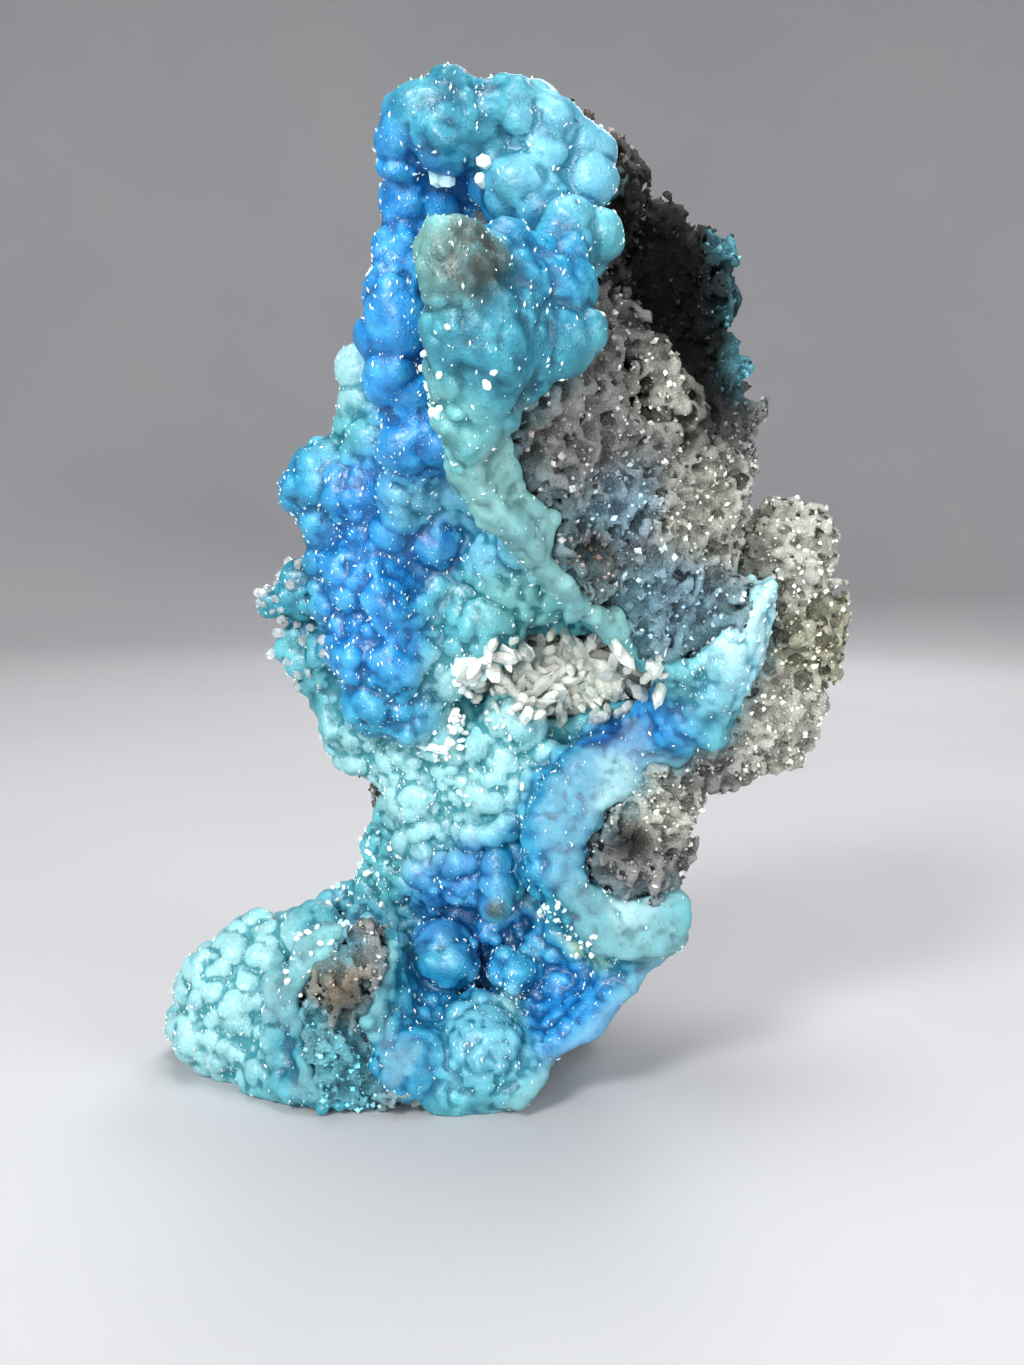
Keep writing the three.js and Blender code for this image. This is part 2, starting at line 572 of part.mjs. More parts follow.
function buildSpecimen() {
  const bedSpace = boss(CRYSTAL_BED, { ...BED_SURFACE, grow: PARTING_GAP });
  const pocket = boss(POCKET_SPACE, { ...POCKET_SURFACE, detail: 2 }).add(bedSpace);
  const away = joined([...Object.values(BREAKS).map(breakBlock), belowFoot(), pocket]);
  const rock = coarser(mainBody(buildRock().subtract(away)), ROCK_FACETS.final);
  const wholeCrust = coarser(mainBody(buildCrust(rock).subtract(away)), CRUST_FACETS.final);
  const crust = coarser(mainBody(wholeCrust.subtract(withGap(rock, LEAST_GAP, 2))), 0, SHORT_EDGE);
  const crystals = mainBody(buildPocketCrystals(rock.add(crust)));

  const specimen = new THREE.Group();
  specimen.add(piece('rock_matrix', rock, { color: 0x6f675c, roughness: 0.9, metalness: 0 }));
  specimen.add(piece('hemimorphite_crust', crust, { color: 0x2f9fd0, roughness: 0.3, metalness: 0 }));
  specimen.add(piece('pocket_crystals', crystals, { color: 0xe9e4d2, roughness: 0.2, metalness: 0 }));
  const box = new THREE.Box3().setFromObject(specimen);
  const centre = box.getCenter(new THREE.Vector3());
  specimen.position.set(-centre.x, -centre.y, -box.min.z);
  return specimen;
}

export default buildSpecimen();
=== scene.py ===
"""Blue hemimorphite on a spongy rock matrix: the fine surface, the colours, the light and the camera."""
import math

import bpy
import numpy as np
import openvdb
from mathutils import Matrix, Vector
from mathutils.bvhtree import BVHTree


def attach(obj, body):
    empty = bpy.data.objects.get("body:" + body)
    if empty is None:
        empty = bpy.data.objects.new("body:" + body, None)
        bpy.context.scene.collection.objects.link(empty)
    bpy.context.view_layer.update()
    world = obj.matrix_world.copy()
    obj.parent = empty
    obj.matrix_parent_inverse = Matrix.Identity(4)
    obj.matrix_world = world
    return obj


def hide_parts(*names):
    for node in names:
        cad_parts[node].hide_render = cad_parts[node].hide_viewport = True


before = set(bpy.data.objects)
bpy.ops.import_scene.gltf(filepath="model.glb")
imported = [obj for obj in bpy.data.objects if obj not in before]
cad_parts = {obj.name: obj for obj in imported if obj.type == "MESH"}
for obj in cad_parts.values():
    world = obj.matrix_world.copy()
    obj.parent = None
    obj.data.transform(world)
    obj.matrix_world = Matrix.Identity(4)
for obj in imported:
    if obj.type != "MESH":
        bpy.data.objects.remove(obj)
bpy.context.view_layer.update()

MM = 0.001
# Places below are in millimetres in the camera's own frame (X right, Y away, Z up), which this shifts
TO_PART = np.array([2.10, -3.60, 0.0])
FIELD_STEP = 0.3  # grid of the distance fields
MOST_TRIANGLES = 195000
MOST_DRUSE = 24000
PITS, LUMPS, GRAINS = 24000, 22000, 22000
SPOTS, DRUSE_SPOTS = 60000, 80000  # random points that knobs, tufts and druse are chosen from
REFRACTION = 1.614  # of hemimorphite
SEEDS = {
    "relief": 3, "knobs": 5, "pits": 9, "grains": 14, "druse": 21, "prisms": 27, "pocket": 33, "clear": 41,
}

# Paints of the crust, as they look in daylight
PAINT = {
    "azure": (0.00, 0.50, 0.77), "deep blue": (0.00, 0.43, 0.68),
    "clear blue": (0.03, 0.52, 0.70), "sky": (0.42, 0.67, 0.76),
    "pale cyan": (0.60, 0.76, 0.77), "aqua": (0.34, 0.62, 0.66),
    "teal": (0.10, 0.48, 0.57), "deep teal": (0.04, 0.40, 0.50),
    "green teal": (0.44, 0.66, 0.65), "grey green": (0.44, 0.58, 0.55),
    "cornflower": (0.20, 0.50, 0.74), "violet blue": (0.03, 0.41, 0.70),
    "frost": (0.70, 0.83, 0.86), "yellow green": (0.66, 0.77, 0.62),
    "brown": (0.20, 0.14, 0.10),
}
# Where each paint of the crust lies: middle of the place, its radius, and how far it is frosted
CRUST_PLACES = {
    "teal": [
        ((-5, -14, 93.5), 4.5, 0.2), ((-1, -22, 73.6), 5.4, 0.2), ((-23, 9, 52), 4.4, 0.5),
        ((6.4, 2, 21), 4, 0.4), ((-19.6, 2, 8), 4.6, 0.4), ((-14, 1.6, 10), 3.6, 0.4),
        ((-16, 3, 2.4), 4.4, 0.4),
    ],
    "azure": [
        ((-9, -9, 88), 6, 0.3), ((-8, -6, 81), 7, 0.3), ((-9, -5, 74), 7, 0.3), ((-8, -3, 67.5), 5.5, 0.3),
        ((21.2, 0.5, 50.7), 1.5, 0), ((21, 0.5, 50.2), 1.3, 0), ((-14, 4, 61.5), 4.5, 0.3),
        ((-14.5, 5, 54.5), 5.6, 0.4), ((-13.5, 5, 48), 5.6, 0.4), ((15.4, 5, 40.8), 4, 0.1),
        ((7.6, 7, 8.4), 5.4, 0.2),
    ],
    "pale cyan": [
        ((-15.8, 5, 73), 3.6, 0.3), ((10.4, 2, 35.8), 2, 0.6), ((0, 6, 9.6), 2, 0.8),
        ((-7, 6, 44.6), 3.6, 0.4), ((1, 7, 38.4), 4, 0.4), ((-3.4, 8, 33.4), 5.4, 0.5),
        ((-9.6, 10, 33), 5.6, 0.5), ((-15, 12, 35.6), 4, 0.5), ((-7.6, 10, 27.6), 4.4, 0.4),
        ((-31.5, 10, 7), 6.4, 0.5), ((-27, 7, 8), 5, 0.5), ((-26.6, 11, 13), 4.2, 0.6),
    ],
    "aqua": [
        ((-15, 5, 67.5), 3.6, 0.3), ((16, 0, 46.8), 4, 0.4), ((-4.8, 3.4, 49.6), 4.2, 0.4),
        ((-22, 11.5, 45), 3.6, 0.5), ((-14.6, 17, 21.6), 5.6, 0.6), ((12, 3, 17.6), 3.8, 0.5),
        ((-24, 9, 6), 4.8, 0.4), ((-17, 1.4, 15.4), 4.4, 0.6),
    ],
    "sky": [
        ((4.5, -12, 89.5), 5, 0.1), ((20, 2, 46), 4, 0.6), ((21.5, 0, 80), 4, 0.2),
        ((22, 0.5, 74.5), 4, 0.3), ((-8.8, 1, 62.4), 3.6, 0.3), ((-1.4, 1.5, 57.4), 3.8, 0.2),
        ((-2.8, 3.6, 6.4), 4, 0.6), ((-20.6, 17, 13.6), 4.4, 0.4), ((-14.4, 15, 13.4), 4, 0.4),
    ],
    "clear blue": [
        ((3, -11, 84), 4, 0.1), ((1.6, -20.5, 79.4), 4.4, 0.1), ((20, -1, 85), 3, 0.1),
        ((-19.6, 7, 62), 4.4, 0.3), ((-12.6, 6, 41.5), 4.4, 0.5), ((5.6, 3, 32.6), 4.6, 0.3),
        ((3.4, 2.4, 27), 5.2, 0.3), ((0.6, 8, 13.6), 4, 0.7), ((-8, 8, 10.6), 3.6, 0.3),
        ((-11, 3, 5.4), 4.4, 0.4), ((12.6, 8, 13.4), 4.4, 0.3),
    ],
    "grey green": [((-4.6, -25, 79), 3.6, 0.2)],
    "brown": [
        ((-3, -28, 78.8), 3.2, 0), ((-2.6, -27, 79.4), 2.6, 0), ((-1.4, 5, 20), 0.9, 0),
        ((-20.6, 13.6, 41.6), 1.8, 0.1),
    ],
    "frost": [
        ((9.6, 1.5, 32.2), 2, 0.8), ((9.8, 1.5, 26.4), 2, 0.8), ((12, 2, 21), 2.2, 0.8),
        ((19.6, 0.5, 51), 6.4, 0.8), ((10.4, 5, 8.2), 1.6, 0.8), ((4, 3.6, 2.8), 1.6, 0.8),
    ],
    "deep teal": [((2.6, -17.5, 75), 4, 0.1)],
    "green teal": [
        ((-4.4, -20.5, 68.5), 3.4, 0.5), ((-2.2, -17.6, 63), 3.6, 0.5), ((2.8, -12, 57.2), 3.8, 0.5),
        ((9.2, -6, 51.7), 3.8, 0.5), ((0.4, 2.4, 52.6), 3.8, 0.3),
    ],
    "deep blue": [((-7.7, 3, 57.6), 3, 0.2), ((-1.6, 11, 14), 5, 0.1), ((3, 12, 11), 4.6, 0.1)],
    "violet blue": [((9.6, 5.2, 37.4), 3.2, 0.1)],
    "yellow green": [((9, 5.4, 16), 2.4, 0.3)],
    "cornflower": [((-5, 9, 22.6), 4.6, 0.2), ((-8.8, 10.6, 18), 3.6, 0.2)],
}
# Round growths on the crust: middle and radius of the place, radii of the knobs, the room that each has as a
# share of their mean radius, and how far they stand out as a share of their own
KNOB_PLACES = [
    ((-8, -6, 80), 17, (1.4, 3), 1.9, 0.28),
    ((-1, -20, 75), 9, (1.6, 3.2), 2.6, 0.18),
    ((-14, 5, 53), 14, (1.2, 2.4), 1.9, 0.32),
    ((-16, 5, 70), 6, (0.8, 1.5), 1.5, 0.45),
    ((-8.6, 1, 62), 4.2, (0.8, 1.5), 1.5, 0.42),
    ((-1, 4, 54.5), 6.4, (0.8, 1.5), 1.6, 0.38),
    ((-4.8, 4, 49), 5.4, (0.7, 1.3), 1.4, 0.5),
    ((-8, 7, 43.5), 5, (0.7, 1.4), 1.5, 0.45),
    ((-4, 9, 34.5), 8.4, (0.8, 1.5), 1.4, 0.5),
    ((-12, 12, 33), 6.4, (0.8, 1.5), 1.4, 0.5),
    ((-8, 11, 25.5), 6, (0.9, 1.7), 1.5, 0.42),
    ((-15, 18, 20.5), 7.4, (0.6, 1.2), 1.4, 0.6),
    ((4, 4, 28), 9, (1, 2), 1.9, 0.3),
    ((-2, 11, 13), 8.4, (1, 2.2), 1.7, 0.4),
    ((-2.6, 4, 6), 5, (0.6, 1.2), 1.5, 0.5),
    ((-10.6, 4, 5.6), 5.6, (1, 2), 1.8, 0.32),
    ((0.6, 9, 13.6), 6, (0.6, 1.2), 2, 0.9),
    ((8, 8, 9), 8, (0.8, 1.7), 1.9, 0.28),
    ((-28, 11, 8), 10, (1, 2.2), 1.5, 0.4),
    ((-18, 16, 13), 6.4, (0.9, 1.8), 1.5, 0.42),
    ((-22, 10.5, 48), 6.4, (0.7, 1.3), 1.4, 0.55),
    ((4, -12, 87), 7.4, (1.4, 2.8), 1.9, 0.26),
]
# The finest knobs, which grow all over
FINE_KNOBS = {"radius": (0.4, 0.9), "room": 2.2, "stand": 0.34}
# How far the crust's distances reach, the cracks that are closed, and the fillets at the feet of its growths
CRUST = {"reach": 4.0, "cracks": 2.4, "point": 1.2, "lobe": 0.4, "finger": 0.15, "knob": 0.1}
# Unevenness of the crust: length of the swellings and how far they stand out
BROAD_SWELLINGS = [(6.0, 0.4), (2.7, 0.18)]
FINE_SWELLINGS = (1.5, 0.1)
# Rounded lobes that stand out singly: middle and radius
LOBES = [
    ((-0.3, 6, 55.2), 5.3), ((-7.9, 4.6, 57.6), 3.1), ((-8.6, 3.4, 62.4), 3.2), ((-6, 3.6, 61.4), 2.5),
    ((-2.8, 6.2, 49.6), 4.4), ((-19.8, 8.5, 62.2), 3.7), ((-15, 6.5, 61.3), 3.8), ((-14.7, 6.6, 54.1), 4.5),
    ((-12.2, 7, 47.8), 3.9), ((-11.3, 8.2, 42), 3.5), ((-8.9, 6.4, 51), 3.1), ((-7.2, 7.4, 44.6), 3),
    ((-11, 12, 34.6), 3.4), ((-6.5, 10.4, 35.6), 2.9), ((-2.3, 9.6, 31.9), 3.3), ((0.4, 8.4, 39.2), 3.1),
    ((-7.5, 12, 29.3), 3.1), ((-15.2, 12.6, 37.6), 3), ((-3, 8.8, 36.4), 2.3), ((1.4, 9, 34.4), 2.2),
    ((-7, 9.6, 13.6), 3.4), ((-2.4, 3.6, 5.4), 4.3), ((-9.6, 3, 4.8), 3.8), ((0.6, 9.4, 12), 2.4),
    ((-27.6, 10, 7.6), 4.4), ((-21.6, 12.6, 14.4), 3.6), ((-26, 10.6, 12.6), 2.6),
]
# Finger-like growths over the basin: the two ends and the radius
FINGERS = [
    ((-9.6, 10, 22.6), (-4.6, 8, 24.4), 1.3), ((-6, 9, 20.6), (-1.6, 7.6, 23.6), 1.2),
    ((-1.2, 7.4, 24.6), (-1.4, 6.4, 20.2), 1.3), ((0.8, 8, 25.4), (0.6, 7.6, 21.4), 1.1),
    ((-3.6, 7.6, 27), (0.2, 7, 28.6), 1.1), ((-10.6, 11.4, 25.4), (-8.4, 10, 27.4), 1.4),
]
# Grit of the broken faces
BROKEN_GRIT = {"lumps": 6000, "pits": 2500, "radius": (0.35, 0.8), "stand": 0.4}
# The upper right edge of the crust is broken off slantwise: a place on the break and the way it faces
TOP_BREAK = ((-1, -12, 95.2), (0.33, 0, 0.94))
# The clear teal point that stands up at the top: middle and radius of its balls
TOP_POINT = [((-6, -13, 91.5), 3.6), ((-6.2, -13.2, 94), 2), ((-6.4, -13.4, 95.6), 0.9)]
# Fresh broken faces: the middle of the face, the way it looks, and half its width and height
BROKEN_FACES = [
    ((11.3, -8.2, 61.7), (0.63, -0.76, -0.15), (18, 12)),
    ((11.5, 2.4, 27), (0.35, -0.93, 0.1), (12, 12)),
    ((9.4, 6, 8.2), (0.7, -0.08, -0.71), (16, 15)),
    ((-17, 0.6, 11), (-0.1, -0.96, 0.26), (8.5, 9)),
]
# Paints of the rock
ROCK_PAINT = {
    "grey": (0.6, 0.6, 0.59), "brown": (0.33, 0.27, 0.22),
    "black": (0.04, 0.035, 0.03), "cream": (0.78, 0.78, 0.74),
    "yellow": (0.68, 0.68, 0.6), "blue grey": (0.55, 0.68, 0.74),
    "tan": (0.56, 0.53, 0.47), "teal rim": (0.42, 0.72, 0.78),
}
# Where the rock swells out to fill the crust around it: middle, radius, how far
ROCK_SWELLS = [
    ((-17, 0.6, 11), 5, 1.2),
    ((14, 3, 28), 7, 1),
    ((11, -8, 61), 10, 0.5),
]
# How far the blue soaks into the rock, and where it goes further: middle, radius, how much further
STAIN_REACH = 1.6
STAINS = [
    ((11, -8, 61), 15, 4.4),
    ((-17, 0.6, 11), 10, 1.6),
    ((-17, 0.6, 3), 6, 5),
    ((14, 3, 28), 8, 1.4),
    ((20, 1, 50), 8, 2.4),
]
# Crystals that stand in tufts: middle, radius of the place, number, least and most half width, slimness
TUFTS = [
    ((-7, 8, 37.6), 2.6, 40, (0.24, 0.42), (2.6, 4.4)),
    ((-4, 8, 35), 6.5, 30, (0.18, 0.32), (2, 3.4)),
    ((-15, 17, 21), 6.5, 60, (0.22, 0.45), (1.8, 3.4)),
    ((-3.4, 3.6, 42.6), 3.4, 24, (0.3, 0.6), (2.2, 3.8)),
    ((4.6, 2.6, 17), 5, 30, (0.2, 0.4), (1.8, 3)),
    ((-19, 2.6, 15.4), 4.5, 40, (0.22, 0.42), (1.8, 3)),
    ((-6.6, -12.6, 88.4), 1.2, 2, (0.75, 0.95), (1.5, 1.8)),
    ((-2.6, -13.4, 88.2), 1.2, 2, (0.6, 0.8), (1.4, 1.7)),
    ((-5, -24, 71), 5, 12, (0.25, 0.5), (1.6, 2.6)),
]
# The clear ones among them
CLEAR_TUFTS = [
    ((-24, 9, 51), 5, 34, (0.35, 0.75), (1.6, 2.4)),
    ((-21, 9.6, 46), 5, 26, (0.3, 0.65), (1.6, 2.4)),
]
LENS_PLACE = (0, -130, 58.8)
# The crystals of the pocket: half width in millimetres, and length as a share of it
POCKET = {
    "middle": (5.2, 7, 43.6),
    "radii": (10.5, 0, 4.9),
    "count": 150,
    "half_width": (0.45, 1),
    "slimness": (2.8, 5.6),
}
# Where each paint of the rock lies: middle of the place and its radius
ROCK_PLACES = {
    "black": [
        ((13.8, -4.5, 81), 10), ((15, -1, 79), 9), ((17.5, -3, 75), 6.5), ((14, -6, 86), 5),
        ((24, 6, 50), 3.4), ((12.6, 1.6, 28), 2.4),
    ],
    "brown": [
        ((3.5, -9, 92), 5), ((-0.6, -16.6, 67), 2.4), ((6.2, -10.4, 56.8), 2.4), ((-15.6, -0.6, 12), 1.9),
        ((-6, 28, 22), 12),
    ],
    "teal rim": [
        ((21.5, 0, 80), 3.2), ((22, 0.5, 74.5), 3), ((20, -1, 85), 2.6), ((-17, 0, 6), 2.8),
        ((-16.6, 0.6, 2.6), 3.2), ((-19.4, 0.6, 10), 1.8), ((-16.6, 0.6, 17), 1.8),
    ],
    "grey": [
        ((8, -11, 76), 6), ((6, -11, 67), 6), ((20, 6, 36), 4.5), ((14, 2.4, 24), 4), ((4, 28, 45), 14),
    ],
    "cream": [
        ((13, -8, 72), 4), ((17, -3.4, 60), 5), ((27, 6, 56), 6), ((26, 6, 40), 6), ((14.5, 4, 31.6), 4),
    ],
    "blue grey": [((8, -8.4, 61.5), 4), ((15.4, -4.4, 52.4), 5)],
    "yellow": [((29, 7, 48), 5.5)],
    "tan": [((-17.6, 0, 14), 3), ((0, 26, 70), 14), ((-12, 26, 6), 14)],
}


def to_part(place):
    """A place of the lists above in the part's frame."""
    return np.array(place, float) + TO_PART


def draws(name):
    """The fixed run of random numbers that belongs to a name."""
    return np.random.default_rng(SEEDS[name])


def daylight(colour):
    """A colour as seen, turned to light values."""
    return [c / 12.92 if c <= 0.04045 else ((c + 0.055) / 1.055) ** 2.4 for c in colour]


def corners_and_faces(mesh):
    """Corner places in millimetres and triangles of a mesh."""
    corners = np.empty(len(mesh.vertices) * 3, np.float32)
    mesh.vertices.foreach_get("co", corners)
    mesh.calc_loop_triangles()
    faces = np.empty(len(mesh.loop_triangles) * 3, np.int32)
    mesh.loop_triangles.foreach_get("vertices", faces)
    return corners.reshape(-1, 3) / MM, faces.reshape(-1, 3).astype(np.uint32)


class Form:
    """A solid held as distances to its surface, in millimetres, on a fine cubic grid."""

    def __init__(self, node, reach):
        self.reach = reach
        corners, faces = corners_and_faces(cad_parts[node].data)
        self.measure(corners.astype(np.float32), faces)

    def measure(self, corners, triangles, quads=None):
        """Fills the grid with the distances to a closed surface."""
        spacing = openvdb.createLinearTransform(voxelSize=FIELD_STEP)
        grid = openvdb.FloatGrid.createLevelSetFromPolygons(
            corners, triangles=triangles, quads=quads, transform=spacing, halfWidth=self.reach / FIELD_STEP
        )
        low, high = grid.evalActiveVoxelBoundingBox()
        self.low = np.array(low) - 2
        self.field = np.empty(np.array(high) + 3 - self.low, np.float32)
        grid.copyToArray(self.field, ijk=tuple(int(n) for n in self.low))

    def around(self, centre, radius):
        """The part of the grid within a radius of a place, and its distances to the place."""
        first = np.floor((centre - radius) / FIELD_STEP).astype(int) - self.low
        last = np.ceil((centre + radius) / FIELD_STEP).astype(int) - self.low + 1
        first = np.maximum(first, 0)
        last = np.minimum(last, self.field.shape)
        if np.any(last <= first):
            return None, None
        axes = [
            ((np.arange(a, b) + offset) * FIELD_STEP - c) ** 2
            for a, b, offset, c in zip(first, last, self.low, centre)
        ]
        squares = axes[0][:, None, None] + axes[1][None, :, None] + axes[2][None, None, :]
        window = tuple(slice(a, b) for a, b in zip(first, last))
        return window, np.sqrt(squares).astype(np.float32)

    def add_ball(self, centre, radius, fillet):
        """Joins a ball on, with a soft fillet at its foot."""
        window, distance = self.around(centre, radius + 2 * fillet + FIELD_STEP)
        if window is None:
            return
        ball = distance - radius
        here = self.field[window]
        blend = np.maximum(fillet - np.abs(here - ball), 0) / fillet
        self.field[window] = np.minimum(here, ball) - blend * blend * fillet / 4

    def break_off(self, place, facing):
        """Takes away what lies past a flat break."""
        way = np.array(facing) / np.linalg.norm(facing)
        spans = [
            (np.arange(count) + offset) * FIELD_STEP * share
            for count, offset, share in zip(self.field.shape, self.low, way)
        ]
        reach = spans[0][:, None, None] + spans[1][None, :, None] + spans[2][None, None, :]
        past = reach - to_part(place) @ way
        self.field = np.maximum(self.field, past.astype(np.float32))

    def cut_ball(self, centre, radius):
        """Takes a round pit away."""
        window, distance = self.around(centre, radius + FIELD_STEP)
        if window is not None:
            self.field[window] = np.maximum(self.field[window], radius - distance)

    def grow(self, amount):
        """Moves the whole surface out."""
        self.field -= amount

    def swell(self, middle, radius, amount):
        """Moves the surface out near a place, less and less towards its edge."""
        window, distance = self.around(to_part(middle), 1.6 * radius)
        self.field[window] -= amount * np.exp(-1.6 * (distance / radius) ** 2)

    def roughen(self, length, amount, random):
        """Pushes the surface in and out by smooth noise with lumps of a given length."""
        block = max(2, round(length / FIELD_STEP))
        noise = random.standard_normal([n // block + 2 for n in self.field.shape]).astype(np.float32)
        for axis in range(3):
            noise = np.repeat(noise, block, axis=axis)
        noise = noise[tuple(slice(0, n) for n in self.field.shape)]
        noise = blurred(noise, block // 2)
        self.field += amount * noise / noise.std()

    def refit(self):
        """Measures the distances to the present surface anew."""
        corners, triangles, quads = self.surface()
        self.measure(corners, triangles, quads)

    def close(self, amount):
        """Fills the cracks that are narrower than twice an amount, and leaves the rest as it is."""
        self.grow(amount)
        self.refit()
        self.grow(-amount)

    def value_at(self, places, field=None):
        """The distance at each place, read between the grid's points."""
        field = self.field if field is None else field
        spot = places / FIELD_STEP - self.low
        spot = np.clip(spot, 0, np.array(field.shape) - 1.001)
        base = spot.astype(int)
        part = spot - base
        total = np.zeros(len(places))
        for corner in np.ndindex(2, 2, 2):
            weight = np.prod(np.where(corner, part, 1 - part), axis=1)
            index = tuple((base + corner).T)
            total += weight * field[index]
        return total

    def surface(self):
        """The surface's corners, triangles and quads."""
        grid = openvdb.FloatGrid(background=float(self.reach))
        grid.transform = openvdb.createLinearTransform(voxelSize=FIELD_STEP)
        grid.gridClass = openvdb.GridClass.LEVEL_SET
        grid.copyFromArray(self.field, ijk=tuple(int(n) for n in self.low), tolerance=0.0)
        corners, triangles, quads = grid.convertToPolygons(0.0, 0.0)
        return corners, triangles[:, ::-1].copy(), quads[:, ::-1].copy()

    def spots(self, count, random):
        """Random points on the surface, with the way that it faces at each."""
        corners, _, quads = self.surface()
        return points_on(corners, quads_to_triangles(quads), count, random)

    def unevenness(self, places, width):
        """How deep each place lies in the surface that is smoothed over a width; crests are under 0."""
        half = max(1, round(width / FIELD_STEP))
        return -self.value_at(places, blurred(self.field, half))

    def piece(self, name):
        """The largest connected part of the surface as an object, standing flat on the ground."""
        corners, triangles, quads = self.surface()
        corners[:, 2] = np.maximum(corners[:, 2], 0)
        faces = np.concatenate([quads_to_triangles(quads), triangles])
        corners, faces = largest_body(corners, faces)
        return thinned(mesh_piece(name, corners, faces.tolist()), MOST_TRIANGLES)


def blurred(field, half):
    """Box average of a field along its three axes."""
    count = 2 * half + 1
    for axis in range(3):
        size = field.shape[axis]
        margin = [(half + 1, half) if a == axis else (0, 0) for a in range(3)]
        total = np.cumsum(np.pad(field, margin, mode="edge"), axis=axis, dtype=np.float64)
        upper = np.take(total, range(count, count + size), axis=axis)
        lower = np.take(total, range(size), axis=axis)
        field = ((upper - lower) / count).astype(np.float32)
    return field


def points_on(corners, faces, count, random):
    """Random points on a surface, with the way that it faces at each."""
    a, b, c = corners[faces[:, 0]], corners[faces[:, 1]], corners[faces[:, 2]]
    cross = np.cross(b - a, c - a)
    area = np.linalg.norm(cross, axis=1)
    chosen = random.choice(len(faces), count, p=area / area.sum())
    u, v = random.random((2, count, 1))
    flip = u + v > 1
    u = np.where(flip, 1 - u, u)
    v = np.where(flip, 1 - v, v)
    places = a[chosen] + u * (b[chosen] - a[chosen]) + v * (c[chosen] - a[chosen])
    return places, cross[chosen] / np.maximum(area[chosen], 1e-9)[:, None]


def largest_body(corners, faces):
    """The corners and faces of the largest connected body of a surface; loose crumbs fall away."""
    owner = np.arange(len(corners))
    links = np.concatenate([faces[:, [0, 1]], faces[:, [1, 2]]]).astype(np.int64)
    while True:
        first, second = owner[links[:, 0]], owner[links[:, 1]]
        apart = first != second
        if not apart.any():
            break
        low = np.minimum(first[apart], second[apart])
        np.minimum.at(owner, first[apart], low)
        np.minimum.at(owner, second[apart], low)
        while np.any(owner[owner] != owner):
            owner = owner[owner]
    main = np.bincount(owner[faces[:, 0]]).argmax()
    kept = owner == main
    renumbered = np.cumsum(kept) - 1
    return corners[kept], renumbered[faces[kept[faces[:, 0]]]]


def quads_to_triangles(quads):
    """Each quad split in two."""
    return np.concatenate([quads[:, [0, 1, 2]], quads[:, [0, 2, 3]]])


def mesh_piece(name, corners, faces, smooth=True):
    """A new object from corners in millimetres and faces."""
    mesh = bpy.data.meshes.new(name)
    mesh.from_pydata((corners * MM).tolist(), [], faces)
    mesh.update()
    mesh.polygons.foreach_set("use_smooth", np.full(len(mesh.polygons), smooth))
    piece = bpy.data.objects.new(name, mesh)
    bpy.context.scene.collection.objects.link(piece)
    return piece


def thinned(piece, most):
    """The piece with no more triangles than it may have, thinned where it is smoothest."""
    count = sum(len(face.vertices) - 2 for face in piece.data.polygons)
    if count > most:
        thinner = piece.modifiers.new("thinner", "DECIMATE")
        thinner.ratio = most / count
        shaped = piece.evaluated_get(bpy.context.evaluated_depsgraph_get())
        mesh = bpy.data.meshes.new_from_object(shaped)
        piece.modifiers.clear()
        piece.data = mesh
    mesh = piece.data
    mesh.polygons.foreach_set("use_smooth", np.ones(len(mesh.polygons), bool))
    return piece


def store(piece, name, values):
    """Keeps a value for each corner of a piece, for its material to read."""
    layer = piece.data.attributes.new(name, "FLOAT", "POINT")
    layer.data.foreach_set("value", np.asarray(values, np.float32))


def store_colour(piece, name, colours):
    """Keeps a colour for each corner of a piece."""
    layer = piece.data.attributes.new(name, "FLOAT_COLOR", "POINT")
    rows = np.concatenate([colours, np.ones((len(colours), 1))], axis=1)
    layer.data.foreach_set("color", rows.astype(np.float32).ravel())


def nearness(places, middle, radius):
    """1 at the middle of a place, falling softly to 0 outside it."""
    away = np.linalg.norm(places - to_part(middle), axis=1) / radius
    return np.exp(-1.6 * away**2)


def paint_by_place(places, rows, paints, ground):
    """The colour at each point from the places near it, on a ground colour."""
    total = np.full((len(places), 1), 0.02)
    colour = total * np.array(daylight(paints[ground]))
    for paint, spots in rows.items():
        for middle, radius, *_ in spots:
            weight = nearness(places, middle, radius)[:, None] ** 1.5
            colour = colour + weight * np.array(daylight(paints[paint]))
            total = total + weight
    return colour / total


def surface_tree(piece):
    """A piece's surface, ready to be searched."""
    corners, faces = corners_and_faces(piece.data)
    return BVHTree.FromPolygons(corners.tolist(), faces.tolist())


def distance_between(piece, other):
    """How far each corner of a piece is from another surface, in millimetres."""
    tree, furthest = surface_tree(other), 12.0
    places, _ = corners_and_faces(piece.data)
    return np.array([tree.find_nearest(Vector(p), furthest)[3] or furthest for p in places.tolist()])


def broken_share(places):
    """1 on the fresh broken faces, 0 elsewhere."""
    share = np.zeros(len(places))
    for middle, facing, (half_width, half_height) in BROKEN_FACES:
        way = np.array(facing) / np.linalg.norm(facing)
        across = np.cross((0, 0, 1), way)
        across = across / np.linalg.norm(across)
        offset = places - to_part(middle)
        height = offset @ np.cross(way, across)
        inside = np.hypot((offset @ across) / half_width, height / half_height) < 1.1
        share = np.maximum(share, inside * np.clip(1.9 - np.abs(offset @ way), 0, 1))
    return share


